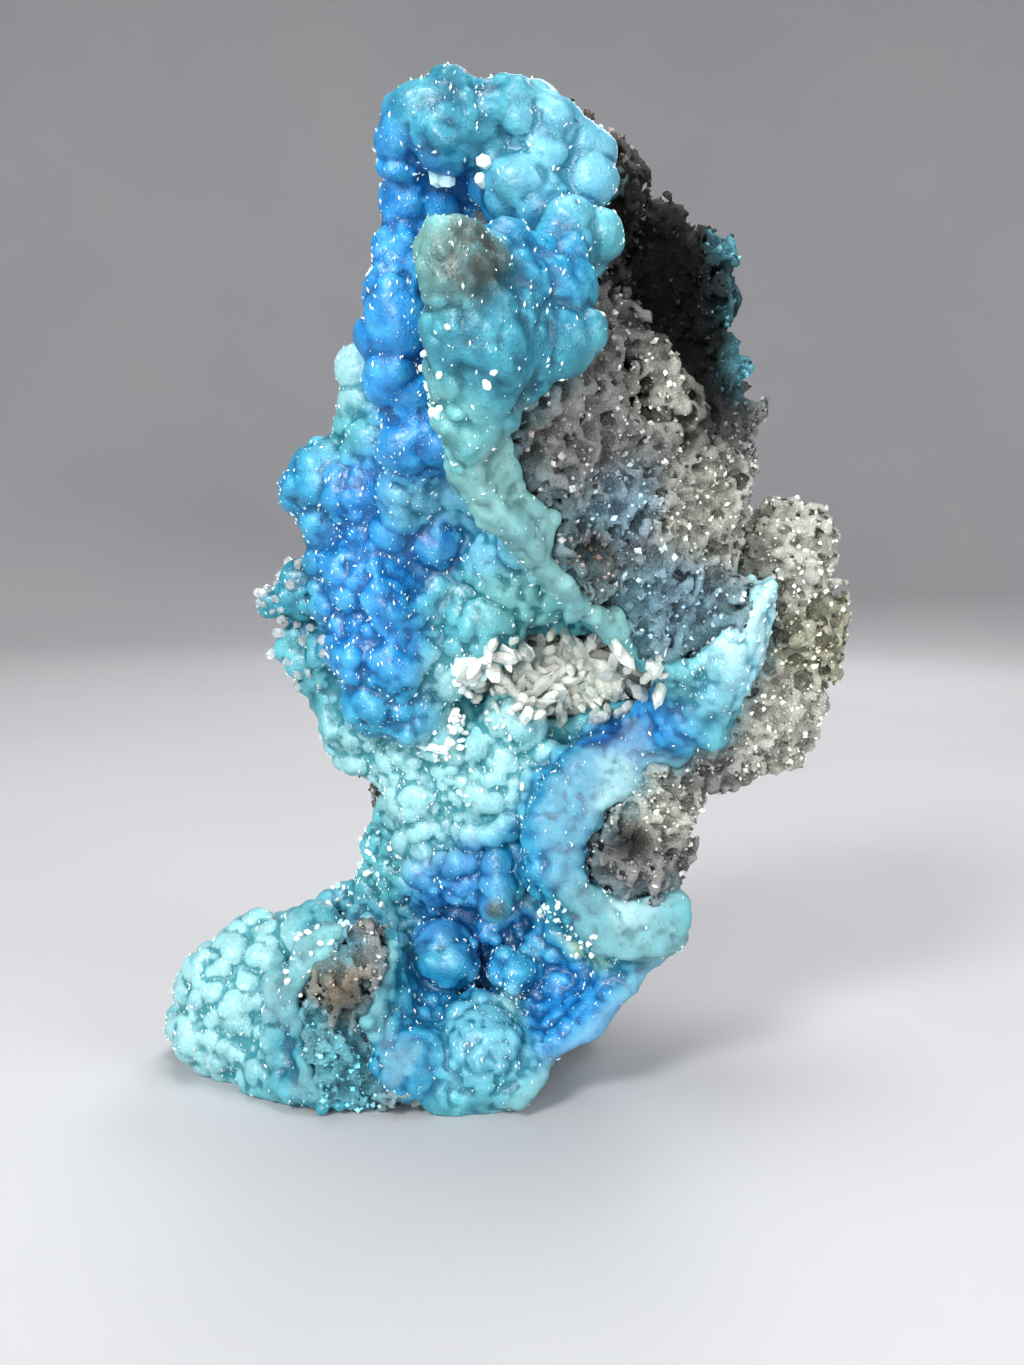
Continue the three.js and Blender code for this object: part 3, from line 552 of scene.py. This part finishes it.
def grow_knobs(form, random):
    """Sets round knobs on the crust, by the list of their places and finely all over."""
    places, facings = form.spots(SPOTS, random)
    broken = broken_share(places) > 0.5
    grit_on_breaks(form, places[broken], facings[broken], random)
    places, facings = places[~broken], facings[~broken]
    for middle, reach, (least, most), room, stand in KNOB_PLACES:
        near = np.linalg.norm(places - to_part(middle), axis=1) < reach
        order = random.permutation(np.flatnonzero(near))
        for n in spread_out(places, order, room * (least + most) / 2):
            radius = least + (most - least) * random.random() ** 1.4
            form.add_ball(places[n] - facings[n] * radius * (1 - stand), radius, CRUST["knob"])
    least, most = FINE_KNOBS["radius"]
    stand = FINE_KNOBS["stand"]
    for n in spread_out(places, random.permutation(len(places)), FINE_KNOBS["room"] * (least + most) / 2):
        radius = least + (most - least) * random.random()
        form.add_ball(places[n] - facings[n] * radius * (1 - stand), radius, CRUST["knob"])


def spread_out(places, order, room):
    """Of some places, taken in a given order, the first in each cube of a given size."""
    cells = np.floor(places[order] / room).astype(int)
    _, first = np.unique(cells, axis=0, return_index=True)
    return order[np.sort(first)]


def grit_on_breaks(form, places, facings, random):
    """Roughens the broken faces with small lumps and pits."""
    least, most = BROKEN_GRIT["radius"]
    lumps = BROKEN_GRIT["lumps"]
    order = random.permutation(len(places))[: lumps + BROKEN_GRIT["pits"]]
    for turn, n in enumerate(order):
        radius = least + (most - least) * random.random() ** 2
        if turn < lumps:
            inward = facings[n] * radius * (1 - BROKEN_GRIT["stand"])
            form.add_ball(places[n] - inward, radius, CRUST["knob"])
        else:
            form.cut_ball(places[n] + facings[n] * radius * 0.3, radius)


def grown_crust():
    """The crust with its round knobs grown on, as one fused surface."""
    form = Form("hemimorphite_crust", CRUST["reach"])
    form.close(CRUST["cracks"])
    relief = draws("relief")
    for middle, radius in TOP_POINT:
        form.add_ball(to_part(middle), radius, CRUST["point"])
    form.break_off(*TOP_BREAK)
    for length, amount in BROAD_SWELLINGS:
        form.roughen(length, amount, relief)
    form.refit()
    for middle, radius in LOBES:
        form.add_ball(to_part(middle), radius, CRUST["lobe"])
    for start, end, radius in FINGERS:
        for share in np.linspace(0, 1, 9):
            form.add_ball(to_part(start) * (1 - share) + to_part(end) * share, radius, CRUST["finger"])
    grow_knobs(form, draws("knobs"))
    form.roughen(*FINE_SWELLINGS, relief)
    piece = form.piece("crust_surface")
    places, _ = corners_and_faces(piece.data)
    # Fine creases and crests, and broad dips of the crust: they steer the painted shade in its creases and
    # dips and the painted light on its knob tops
    store(piece, "crease", np.clip(form.unevenness(places, 0.5) / 0.13, -1, 1))
    store(piece, "hollow_shade", np.clip(form.unevenness(places, 2.4) / 0.9, -1, 1))
    store(piece, "broken", broken_share(places))
    store_colour(piece, "paint", paint_by_place(places, CRUST_PLACES, PAINT, "aqua"))
    store(piece, "frost", frost_share(places))
    return piece


def frost_share(places):
    """How thickly each point of the crust is dusted with small white crystals."""
    rows = [row for spots in CRUST_PLACES.values() for row in spots]
    return np.clip(sum(frost * nearness(places, middle, radius) for middle, radius, frost in rows), 0, 1)


def spongy_rock():
    """The rock with pores of all sizes eaten into it and grains standing on it."""
    form = Form("rock_matrix", 2.4)
    form.grow(0.35)
    for swell in ROCK_SWELLS:
        form.swell(*swell)
    form.roughen(4.0, 0.35, draws("relief"))
    form.refit()
    random = draws("pits")
    places, facings = form.spots(PITS + LUMPS, random)
    sizes = 0.3 + 0.8 * random.random(len(places)) ** 4
    for place, facing, size in zip(places[PITS:], facings[PITS:], sizes[PITS:]):
        form.add_ball(place - facing * 0.4 * random.random(), 0.8 * size, 0.05)
    for place, facing, size in zip(places[:PITS], facings[:PITS], sizes[:PITS]):
        depth = size * (1.4 * random.random() - 0.2)
        form.cut_ball(place - facing * depth, size)
    piece = form.piece("rock_surface")
    places, _ = corners_and_faces(piece.data)
    # How deep each point lies in a pore: it steers the painted shade in the pores and the painted light on
    # the crests
    store(piece, "pore", np.clip(form.unevenness(places, 0.6) / 0.25, -1, 1))
    store_colour(piece, "paint", paint_by_place(places, ROCK_PLACES, ROCK_PAINT, "grey"))
    return piece


# Small crystals and grains

# A flat six-sided crystal with a chisel end, one unit wide and long, standing on Z
BLADE_RING = [(1, 0), (0.5, 0.87), (-0.5, 0.87), (-1, 0), (-0.5, -0.87), (0.5, -0.87)]
BLADE_FACES = [(5, 4, 3, 2, 1, 0)] + [(n, (n + 1) % 6, (n + 1) % 6 + 6, n + 6) for n in range(6)] + [
    (6, 7, 12), (7, 8, 13, 12), (8, 9, 13), (9, 10, 13), (10, 11, 12, 13), (11, 6, 12),
]
# A stubby grain with eight faces
GRAIN_CORNERS = np.array([(1, 0, 0), (0, 1, 0), (-1, 0, 0), (0, -1, 0), (0, 0, 1), (0, 0, -1)], float)
GRAIN_FACES = [(0, 1, 4), (1, 2, 4), (2, 3, 4), (3, 0, 4), (1, 0, 5), (2, 1, 5), (3, 2, 5), (0, 3, 5)]


def blade_corners(shoulder):
    """Corners of the blade, whose chisel end starts at the shoulder."""
    foot = [(0.85 * x, 0.85 * y, 0.0) for x, y in BLADE_RING]
    ring = [(x, y, shoulder) for x, y in BLADE_RING]
    return np.array(foot + ring + [(0.4, 0, 1), (-0.4, 0, 1)])


def turned_along(facings, random, sway):
    """A random turn for each facing that brings Z onto it, leaning aside by up to the sway."""
    up = facings + sway * random.normal(size=facings.shape)
    up = up / np.linalg.norm(up, axis=1)[:, None]
    side = np.cross(up, random.normal(size=up.shape))
    side = side / np.linalg.norm(side, axis=1)[:, None]
    return np.stack([side, np.cross(up, side), up], axis=2)


def crystals_piece(name, corners, faces, places, turns, sizes, random):
    """Many small crystals as one joined mesh, each with a shade of its own."""
    spread = np.einsum("nij,nkj->nki", turns, corners[None] * sizes[:, None, :]) + places[:, None, :]
    count, each = len(places), len(corners)
    rows = [tuple(corner + n * each for corner in face) for n in range(count) for face in faces]
    piece = mesh_piece(name, spread.reshape(-1, 3), rows, smooth=False)
    store(piece, "shade", np.repeat(random.random(count), each))
    return piece


def rock_grains(rock):
    """Pale and dark grains that cover the rock."""
    random = draws("grains")
    places, facings = points_on(*corners_and_faces(rock.data), GRAINS, random)
    size = 0.10 + 0.26 * random.random(len(places)) ** 2
    sizes = size[:, None] * random.uniform(0.7, 1.4, (len(places), 3))
    turns = turned_along(facings, random, 0.8)
    lifted = places + facings * size[:, None] * 0.3
    lifted[:, 2] = np.maximum(lifted[:, 2], 0.5)
    piece = crystals_piece("rock_grains", GRAIN_CORNERS, GRAIN_FACES, lifted, turns, sizes, random)
    spots, _ = corners_and_faces(piece.data)
    store_colour(piece, "paint", paint_by_place(spots, ROCK_PLACES, ROCK_PAINT, "grey"))
    return piece


def crust_druse(crust):
    """Fine clear-white crystals that glitter on the blue crust."""
    random = draws("druse")
    places, facings = points_on(*corners_and_faces(crust.data), DRUSE_SPOTS, random)
    wanted = frost_share(places) * (1 - broken_share(places)) * 0.4 + 0.05
    seen = np.flatnonzero(random.random(len(places)) < wanted)[:MOST_DRUSE]
    places, facings = places[seen], facings[seen]
    size = 0.05 + 0.10 * random.random(len(places)) ** 3
    sizes = size[:, None] * np.array([1.0, 1.0, 2.4])
    upright = np.array([0.0, 0.0, 1.0]) - facings * facings[:, 2:]
    turns = turned_along(upright + 0.3 * facings, random, 0.35)
    lifted = places + facings * size[:, None] * 0.6
    lifted[:, 2] = np.maximum(lifted[:, 2], 0.4)
    return crystals_piece("crust_druse", GRAIN_CORNERS, GRAIN_FACES, lifted, turns, sizes, random)


def seen_from_lens(places, trees):
    """Where the lines from the lens towards some places first meet the specimen, and how it faces there."""
    lens = Vector(to_part(LENS_PLACE))
    roots, ways = [], []
    for place in places:
        aim = (Vector(place) - lens).normalized()
        hits = [hit for hit in (tree.ray_cast(lens, aim) for tree in trees) if hit[0] is not None]
        if hits:
            spot, facing, *_ = min(hits, key=lambda hit: hit[3])
            roots.append(spot)
            ways.append(facing if facing.dot(aim) < 0 else -facing)
    return np.array(roots), np.array(ways)


def pocket_blades(carriers):
    """The cream crystals that fill the pocket and spill over the knobs beside it."""
    random = draws("pocket")
    angle = 2 * np.pi * random.random(POCKET["count"])
    reach = np.sqrt(random.random(POCKET["count"]))
    spread = np.stack([reach * np.cos(angle), 0 * reach, reach * np.sin(angle)], axis=1)
    aims = to_part(POCKET["middle"]) + spread * POCKET["radii"]
    roots, ways = seen_from_lens(aims, [surface_tree(piece) for piece in carriers])
    half = random.uniform(*POCKET["half_width"], len(roots))
    length = half * random.uniform(*POCKET["slimness"], len(roots))
    sizes = np.stack([half, 0.6 * half, length], axis=1)
    outward = ways + np.array([0.0, -0.7, 0.25])
    turns = turned_along(outward, random, 0.45)
    sunk = roots - turns[:, :, 2] * length[:, None] * 0.25
    return crystals_piece("pocket_blades", blade_corners(0.72), BLADE_FACES, sunk, turns, sizes, random)


def tufts(name, crust, rows, kind):
    """Short crystals in tufts on the crust, by a list of their places."""
    random = draws(kind)
    roots, ways, halves, lengths = [], [], [], []
    spots, facings = points_on(*corners_and_faces(crust.data), SPOTS, random)
    for middle, reach, count, half_range, slimness in rows:
        near = np.flatnonzero(np.linalg.norm(spots - to_part(middle), axis=1) < reach)
        for n in random.permutation(near)[:count]:
            roots.append(spots[n])
            ways.append(facings[n])
            halves.append(random.uniform(*half_range))
            lengths.append(halves[-1] * random.uniform(*slimness))
    roots, ways, halves, lengths = (np.array(rows) for rows in (roots, ways, halves, lengths))
    turns = turned_along(ways, random, 0.4)
    sizes = np.stack([halves, 0.75 * halves, lengths], axis=1)
    sunk = roots - turns[:, :, 2] * lengths[:, None] * 0.3
    return crystals_piece(name, blade_corners(0.75), BLADE_FACES, sunk, turns, sizes, random)


# Shader building


class Recipe:
    """Lays shader nodes down in a material or a group."""

    def __init__(self, tree):
        self.tree = tree
        self.shader = None

    def node(self, kind, values=None, **settings):
        made = self.tree.nodes.new(kind)
        for key, value in settings.items():
            setattr(made, key, value)
        for key, value in (values or {}).items():
            self.feed(made.inputs[key], value)
        return made

    def feed(self, socket, value):
        if isinstance(value, bpy.types.NodeSocket):
            self.tree.links.new(value, socket)
        else:
            socket.default_value = value

    def attribute(self, name, colour=False):
        made = self.node("ShaderNodeAttribute", attribute_name=name)
        return made.outputs["Color" if colour else "Fac"]

    def place(self):
        return self.node("ShaderNodeTexCoord").outputs["Object"]

    def noise(self, scale, detail=3.0, roughness=0.55, place=None):
        values = {"Scale": scale, "Detail": detail, "Roughness": roughness}
        if place is not None:
            values["Vector"] = place
        return self.node("ShaderNodeTexNoise", values).outputs["Fac"]

    def cells(self, scale, feature="F1", output="Distance", place=None):
        values = {"Scale": scale}
        if place is not None:
            values["Vector"] = place
        return self.node("ShaderNodeTexVoronoi", values, feature=feature).outputs[output]

    def span(self, value, low, high, to_low=0.0, to_high=1.0):
        values = {"Value": value, "From Min": low, "From Max": high, "To Min": to_low, "To Max": to_high}
        return self.node("ShaderNodeMapRange", values).outputs["Result"]

    def sum_of(self, first, second, operation="ADD"):
        made = self.node("ShaderNodeMath", operation=operation)
        self.feed(made.inputs[0], first)
        self.feed(made.inputs[1], second)
        return made.outputs[0]

    def tinted(self, colour, shares):
        return self.mixed(1.0, colour, (*shares, 1), "MULTIPLY")

    def shine(self, **values):
        """Feeds the shader's sockets, each by its name."""
        for name, value in values.items():
            self.feed(self.shader.inputs[name.replace("_", " ")], value)

    def raised(self, height, strength, distance):
        """Gives the shader a fine relief."""
        bump = self.node("ShaderNodeBump", {"Height": height, "Strength": strength, "Distance": distance})
        self.shine(Normal=bump.outputs["Normal"])

    def product(self, first, second):
        return self.sum_of(first, second, "MULTIPLY")

    def mixed(self, share, first, second, blend="MIX"):
        made = self.node("ShaderNodeMix", data_type="RGBA", blend_type=blend)
        self.feed(made.inputs["Factor"], share)
        self.feed(made.inputs["A"], first)
        self.feed(made.inputs["B"], second)
        return made.outputs["Result"]

    def group(self, group, **values):
        made = self.node("ShaderNodeGroup", node_tree=group)
        for key, value in values.items():
            self.feed(made.inputs[key.replace("_", " ")], value)
        return made.outputs


def effect(name, inputs, outputs, build):
    """A shared effect: a node group with named sockets, filled in by the build function."""
    group = bpy.data.node_groups.new(name, "ShaderNodeTree")
    for label, default in inputs.items():
        kind = COLOUR if isinstance(default, tuple) else NUMBER
        socket = group.interface.new_socket(label, in_out="INPUT", socket_type=kind)
        socket.default_value = default
    for label, kind in outputs.items():
        group.interface.new_socket(label, in_out="OUTPUT", socket_type=kind)
    recipe = Recipe(group)
    given = recipe.node("NodeGroupInput").outputs
    results = build(recipe, given)
    end = recipe.node("NodeGroupOutput")
    for label, value in results.items():
        recipe.feed(end.inputs[label], value)
    return group


COLOUR, NUMBER = "NodeSocketColor", "NodeSocketFloat"


def build_mottling(recipe, given):
    """Cloudy changes between a deeper and a paler shade of one colour."""
    place = recipe.place()
    coarse = recipe.noise(given["Scale"], 4.0, 0.6, place)
    deep = recipe.span(coarse, 0.35, 0.5, 1.0, 0.0)
    pale = recipe.span(coarse, 0.5, 0.68)
    deeper = recipe.mixed(recipe.product(deep, given["Amount"]), given["Color"], given["Deep"])
    paler = recipe.mixed(recipe.product(pale, given["Amount"]), deeper, given["Pale"])
    return {"Color": paler}


def build_speckle(recipe, given):
    """Small grains in a surface: where they are, and how high each stands."""
    place = recipe.place()
    distance = recipe.cells(given["Scale"], place=place)
    pick = recipe.cells(given["Scale"], output="Color", place=place)
    chosen = recipe.span(pick, given["Rarity"], recipe.sum_of(given["Rarity"], 0.05))
    round_top = recipe.span(distance, 0.12, 0.42, 1.0, 0.0)
    return {"Mask": recipe.product(chosen, round_top), "Height": round_top}


MOTTLING = effect(
    "cloudy mottling",
    {
        "Color": (0.5, 0.5, 0.5, 1), "Deep": (0.1, 0.1, 0.1, 1), "Pale": (0.9, 0.9, 0.9, 1),
        "Scale": 300.0, "Amount": 0.5,
    },
    {"Color": COLOUR},
    build_mottling,
)
SPECKLE = effect(
    "fine grains", {"Scale": 3000.0, "Rarity": 0.6}, {"Mask": NUMBER, "Height": NUMBER}, build_speckle,
)


def new_material(name):
    """An empty material with its Principled shader, and a recipe to fill it."""
    material = bpy.data.materials.new(name)
    material.use_nodes = True
    material.node_tree.nodes.clear()
    recipe = Recipe(material.node_tree)
    recipe.shader = recipe.node("ShaderNodeBsdfPrincipled")
    end = recipe.node("ShaderNodeOutputMaterial")
    recipe.feed(end.inputs["Surface"], recipe.shader.outputs["BSDF"])
    return material, recipe


def opaque(colour):
    """A colour as seen, ready for a shader."""
    return (*daylight(colour), 1)


def crust_finish():
    """Satin translucent blue crust: painted shade deepens its creases and broad dips, white frost and
    painted light make its knob tops paler, and it is fibrous where broken.
    """
    material, recipe = new_material("hemimorphite crust")
    paint = recipe.attribute("paint", colour=True)
    names = ("crease", "broken", "frost", "hollow_shade")
    crease, broken, frost, hollow_shade = (recipe.attribute(name) for name in names)
    deep = recipe.tinted(paint, (0.12, 0.46, 0.52))
    pale = recipe.mixed(0.4, paint, opaque((0.50, 0.90, 0.94)))
    cloudy = recipe.group(MOTTLING, Color=paint, Deep=deep, Pale=pale, Scale=420.0, Amount=0.6)["Color"]
    # Painted shade: the creases and the broad dips are darkened towards the deep tone
    crease_shaded = recipe.mixed(recipe.span(crease, -0.1, 0.5, 0.0, 0.95), cloudy, deep)
    sunk = recipe.mixed(recipe.span(hollow_shade, 0.0, 0.9, 0.0, 0.85), crease_shaded, deep)
    # Knob tops paler by how frosted they are: partly white frost, partly painted light on the crests
    crest = recipe.span(crease, -0.1, -0.8, 0.0, 1.0)
    crest_frost_and_light = recipe.mixed(recipe.product(crest, recipe.span(frost, 0.0, 1.0, 0.1, 0.9)), sunk, pale)
    # White specks of fine druse where the crust is frosted, which also stand in for its glints as painted
    # glints
    fine = recipe.group(SPECKLE, Scale=2600.0, Rarity=0.72)
    dust = recipe.group(SPECKLE, Scale=6500.0, Rarity=0.5)
    patchy = recipe.span(recipe.noise(260.0, 3.0), 0.45, 0.65)
    frosted = recipe.product(recipe.product(dust["Mask"], patchy), frost)
    frost_dust_and_glints = recipe.mixed(recipe.product(frosted, 0.7), crest_frost_and_light, opaque((0.90, 0.97, 0.98)))
    fine_specks_and_glints = recipe.product(fine["Mask"], recipe.product(frost, 0.5))
    whole = recipe.mixed(fine_specks_and_glints, frost_dust_and_glints, opaque((0.95, 0.98, 0.97)))
    fibres = recipe.span(recipe.noise(1400.0, 5.0, 0.7), 0.4, 0.62)
    streaks = recipe.mixed(recipe.product(fibres, 0.5), crest_frost_and_light, opaque((0.74, 0.84, 0.82)))
    grit = recipe.group(SPECKLE, Scale=2200.0, Rarity=0.68)
    fresh = recipe.mixed(recipe.product(grit["Mask"], 0.6), streaks, opaque((0.36, 0.46, 0.46)))
    recipe.shine(Base_Color=recipe.mixed(broken, whole, fresh))
    recipe.shine(Roughness=recipe.span(recipe.noise(900.0), 0.3, 0.7, 0.3, 0.55))
    relief = recipe.sum_of(recipe.product(dust["Height"], 0.35), fine["Height"])
    torn = recipe.product(recipe.product(fibres, broken), 3.0)
    recipe.raised(recipe.sum_of(relief, torn), 0.4, 0.00012)
    recipe.shine(Subsurface_Weight=0.25, Subsurface_Radius=(0.25, 0.8, 1.0), Subsurface_Scale=0.0018)
    recipe.shine(IOR=REFRACTION, Coat_Weight=0.12, Coat_Roughness=0.18)
    return material


def rock_finish():
    """Dull porous rock: painted shade darkens its pores and painted light pales its crests; pale on its
    grains, stained blue near the crust.
    """
    material, recipe = new_material("spongy rock")
    paint = recipe.attribute("paint", colour=True)
    pore = recipe.attribute("pore")
    stain = recipe.attribute("stain")
    dark = recipe.tinted(paint, (0.09, 0.08, 0.075))
    pale = recipe.tinted(paint, (2.2, 2.2, 2.2))
    cloudy = recipe.group(MOTTLING, Color=paint, Deep=dark, Pale=pale, Scale=700.0, Amount=0.8)["Color"]
    # Painted shade darkens the pores, and painted light pales the crests
    pore_shaded = recipe.mixed(recipe.span(pore, -0.1, 0.6), cloudy, dark)
    crests = recipe.mixed(recipe.span(pore, -0.2, -0.9, 0.0, 0.6), pore_shaded, pale)
    grains = recipe.group(SPECKLE, Scale=2400.0, Rarity=0.6)
    pick = recipe.cells(3400.0, output="Color")
    peppered = recipe.mixed(recipe.span(pick, 0.42, 0.3, 0.0, 0.8), crests, dark)
    salted = recipe.mixed(recipe.span(pick, 0.56, 0.7, 0.0, 0.9), peppered, pale)
    sprinkled = recipe.mixed(recipe.product(grains["Mask"], 0.8), salted, pale)
    soaked = recipe.product(stain, recipe.span(recipe.noise(500.0), 0.3, 0.6))
    stained = recipe.mixed(recipe.product(soaked, 0.8), sprinkled, opaque((0.50, 0.76, 0.82)))
    recipe.shine(Base_Color=stained, Roughness=recipe.span(grains["Mask"], 0.0, 1.0, 0.85, 0.45))
    recipe.raised(recipe.sum_of(grains["Height"], recipe.noise(3000.0, 4.0)), 0.9, 0.0003)
    return material


def crystal_finish():
    """Milky cream crystals, glassy on their faces and partly clear."""
    material, recipe = new_material("pale crystals")
    cream, milk = opaque((0.95, 0.95, 0.91)), opaque((1.0, 1.0, 0.98))
    shade = opaque((0.74, 0.83, 0.81))
    cloudy = recipe.group(MOTTLING, Color=cream, Deep=shade, Pale=milk, Scale=600.0, Amount=0.7)["Color"]
    recipe.shine(Base_Color=cloudy, Roughness=recipe.span(recipe.noise(1500.0), 0.35, 0.7, 0.1, 0.35))
    dust = recipe.group(SPECKLE, Scale=5000.0, Rarity=0.7)
    recipe.raised(dust["Height"], 0.15, 0.0001)
    recipe.shine(Subsurface_Weight=0.3, Subsurface_Radius=(1.0, 0.9, 0.75), Subsurface_Scale=0.002)
    recipe.shine(IOR=REFRACTION, Transmission_Weight=0.08)
    return material


def grain_finish():
    """Grains of the rock: cream, grey and a few dark ones."""
    material, recipe = new_material("rock grains")
    paint = recipe.attribute("paint", colour=True)
    shade = recipe.attribute("shade")
    pale = recipe.tinted(paint, (2.6, 2.6, 2.6))
    dark = recipe.tinted(paint, (0.12, 0.11, 0.10))
    lit = recipe.mixed(recipe.span(shade, 0.45, 0.75), paint, pale)
    picked = recipe.mixed(recipe.span(shade, 0.3, 0.15), lit, dark)
    cloudy = recipe.group(MOTTLING, Color=picked, Deep=dark, Pale=pale, Scale=1500.0, Amount=0.5)["Color"]
    recipe.shine(Base_Color=cloudy, Roughness=recipe.span(shade, 0.0, 1.0, 0.75, 0.25))
    return material


def druse_finish():
    """Tiny glassy crystals, nearly white."""
    material, recipe = new_material("glittering druse")
    shade = recipe.attribute("shade")
    colour = recipe.mixed(shade, opaque((0.74, 0.92, 0.96)), opaque((1.0, 0.99, 0.95)))
    recipe.shine(Base_Color=colour, Roughness=recipe.span(shade, 0.0, 1.0, 0.08, 0.3))
    recipe.shine(Subsurface_Weight=0.3, Subsurface_Radius=(0.8, 0.9, 1.0), Subsurface_Scale=0.0006)
    recipe.shine(IOR=REFRACTION)
    return material


def clear_finish():
    """Water-clear crystals with a breath of blue."""
    material, recipe = new_material("clear crystals")
    recipe.shine(Roughness=recipe.span(recipe.noise(2500.0), 0.3, 0.7, 0.02, 0.12))
    recipe.shine(Base_Color=(0.95, 1.0, 1.0, 1), IOR=REFRACTION, Transmission_Weight=0.7)
    frosting = recipe.group(SPECKLE, Scale=4000.0, Rarity=0.6)
    recipe.raised(frosting["Height"], 0.1, 0.0001)
    inside = recipe.node("ShaderNodeVolumeAbsorption", {"Color": (0.7, 0.95, 1.0, 1), "Density": 120.0})
    end = material.node_tree.nodes["Material Output"]
    recipe.feed(end.inputs["Volume"], inside.outputs["Volume"])
    return material


def make_stage():
    """A round pale cove: the floor that the specimen stands on, curving up into a wall."""
    radius, fillet, height, sides = 0.9, 0.35, 1.1, 96
    profile = [(0.02, 0.0), (radius - fillet, 0.0)]
    for step in range(1, 13):
        angle = step / 12 * math.pi / 2
        profile.append((radius - fillet + fillet * math.sin(angle), fillet * (1 - math.cos(angle))))
    profile.append((radius, height))
    corners = []
    for reach, lift in profile:
        for n in range(sides):
            angle = 2 * math.pi * n / sides
            corners.append((reach * math.cos(angle), reach * math.sin(angle), lift))
    faces = [tuple(range(sides))]
    for ring in range(len(profile) - 1):
        for n in range(sides):
            a, b = ring * sides + n, ring * sides + (n + 1) % sides
            faces.append((a, a + sides, b + sides, b))
    floor = mesh_piece("studio_cove", np.array(corners) / MM, faces)
    material, recipe = new_material("pale paper")
    paper = recipe.group(
        MOTTLING, Color=opaque((0.74, 0.74, 0.75)), Deep=opaque((0.72, 0.72, 0.73)),
        Pale=opaque((0.76, 0.76, 0.76)), Scale=6.0, Amount=0.5,
    )
    recipe.shine(Base_Color=paper["Color"], Roughness=0.9)
    floor.data.materials.append(material)


# Soft square lamps: name, place and size in metres, and power
LAMPS = [
    ("key_light", (-0.26, -0.42, 0.38), 0.14, 2.4),
    ("front_light", (-0.10, -0.56, 0.12), 0.20, 1.7),
    ("side_light", (0.42, -0.26, 0.26), 0.26, 0.9),
    ("top_light", (0.02, 0.00, 0.60), 0.30, 1.6),
    ("back_light", (0.12, 0.50, 0.32), 0.30, 1.0),
]


def add_light(name, place, size, power, aimed_at=(0, 0, 0.045)):
    """A soft square lamp that shines at the middle of the specimen."""
    lamp = bpy.data.lights.new(name, "AREA")
    lamp.size = size
    lamp.energy = power
    holder = bpy.data.objects.new(name, lamp)
    bpy.context.scene.collection.objects.link(holder)
    holder.location = place
    aim = Vector(aimed_at) - Vector(place)
    holder.rotation_mode = "QUATERNION"
    holder.rotation_quaternion = aim.to_track_quat("-Z", "Y")
    holder.visible_camera = False


def make_lights():
    """The lamps and the soft light of the room."""
    for lamp in LAMPS:
        add_light(*lamp)
    world = bpy.data.worlds.new("soft_room")
    bpy.context.scene.world = world
    world.use_nodes = True
    background = world.node_tree.nodes["Background"]
    background.inputs["Color"].default_value = (0.95, 0.97, 1.0, 1)
    background.inputs["Strength"].default_value = 0.2
    bpy.context.scene.view_settings.view_transform = "Standard"
    bpy.context.scene.view_settings.look = "Medium High Contrast"


def make_camera():
    """The camera where the reference was taken from: its lens, its small tilt down and its slight roll."""
    image_height, focal_pixels, film_height = 1365, 1356, 36
    tilt, roll = math.radians(6.52), math.radians(-0.71)
    lens_place = to_part(LENS_PLACE) * MM
    camera = bpy.data.cameras.new("photo_camera")
    camera.sensor_fit = "VERTICAL"
    camera.sensor_height = film_height
    camera.lens = film_height * focal_pixels / image_height
    camera.clip_start = 0.004
    camera.clip_end = 10
    holder = bpy.data.objects.new("photo_camera", camera)
    bpy.context.scene.collection.objects.link(holder)
    forward = Vector((0, math.cos(tilt), -math.sin(tilt)))
    turn = Matrix.Rotation(-roll, 3, -forward)
    right = turn @ Vector((1, 0, 0))
    up = turn @ Vector((0, math.sin(tilt), math.cos(tilt)))
    basis = Matrix((right, up, -forward)).transposed().to_4x4()
    holder.matrix_world = Matrix.Translation(Vector(lens_place)) @ basis
    bpy.context.scene.camera = holder


def stain_near_crust(rock, crust):
    """Marks how close the rock is to the crust, where it is soaked with blue."""
    away = distance_between(rock, crust)
    places, _ = corners_and_faces(rock.data)
    reach = np.full(len(places), STAIN_REACH)
    for middle, radius, further in STAINS:
        reach += further * nearness(places, middle, radius)
    store(rock, "stain", np.clip(1 - away / reach, 0, 1))


def finished(piece, finish, slot_name, *nodes):
    """Gives a piece its finish, and lets it ride on the specimen in place of its plain solids."""
    piece.data.materials.append(finish)
    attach(piece, "root")
    if nodes:
        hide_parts(*nodes)


crust = grown_crust()
rock = spongy_rock()
stain_near_crust(rock, crust)
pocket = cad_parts["pocket_crystals"]
cream_crystal, glitter = crystal_finish(), druse_finish()
pocket.data.materials.clear()
pocket.data.materials.append(cream_crystal)
finished(pocket_blades([crust, rock, pocket]), cream_crystal, "crystals")
finished(tufts("knob_crystals", crust, TUFTS, "prisms"), glitter, "crystals")
finished(tufts("clear_crystals", crust, CLEAR_TUFTS, "clear"), clear_finish(), "crystals")
finished(rock_grains(rock), grain_finish(), "rock")
finished(crust_druse(crust), glitter, "crystals")
finished(crust, crust_finish(), "crust", "hemimorphite_crust")
finished(rock, rock_finish(), "rock", "rock_matrix")

make_stage()
make_lights()
make_camera()
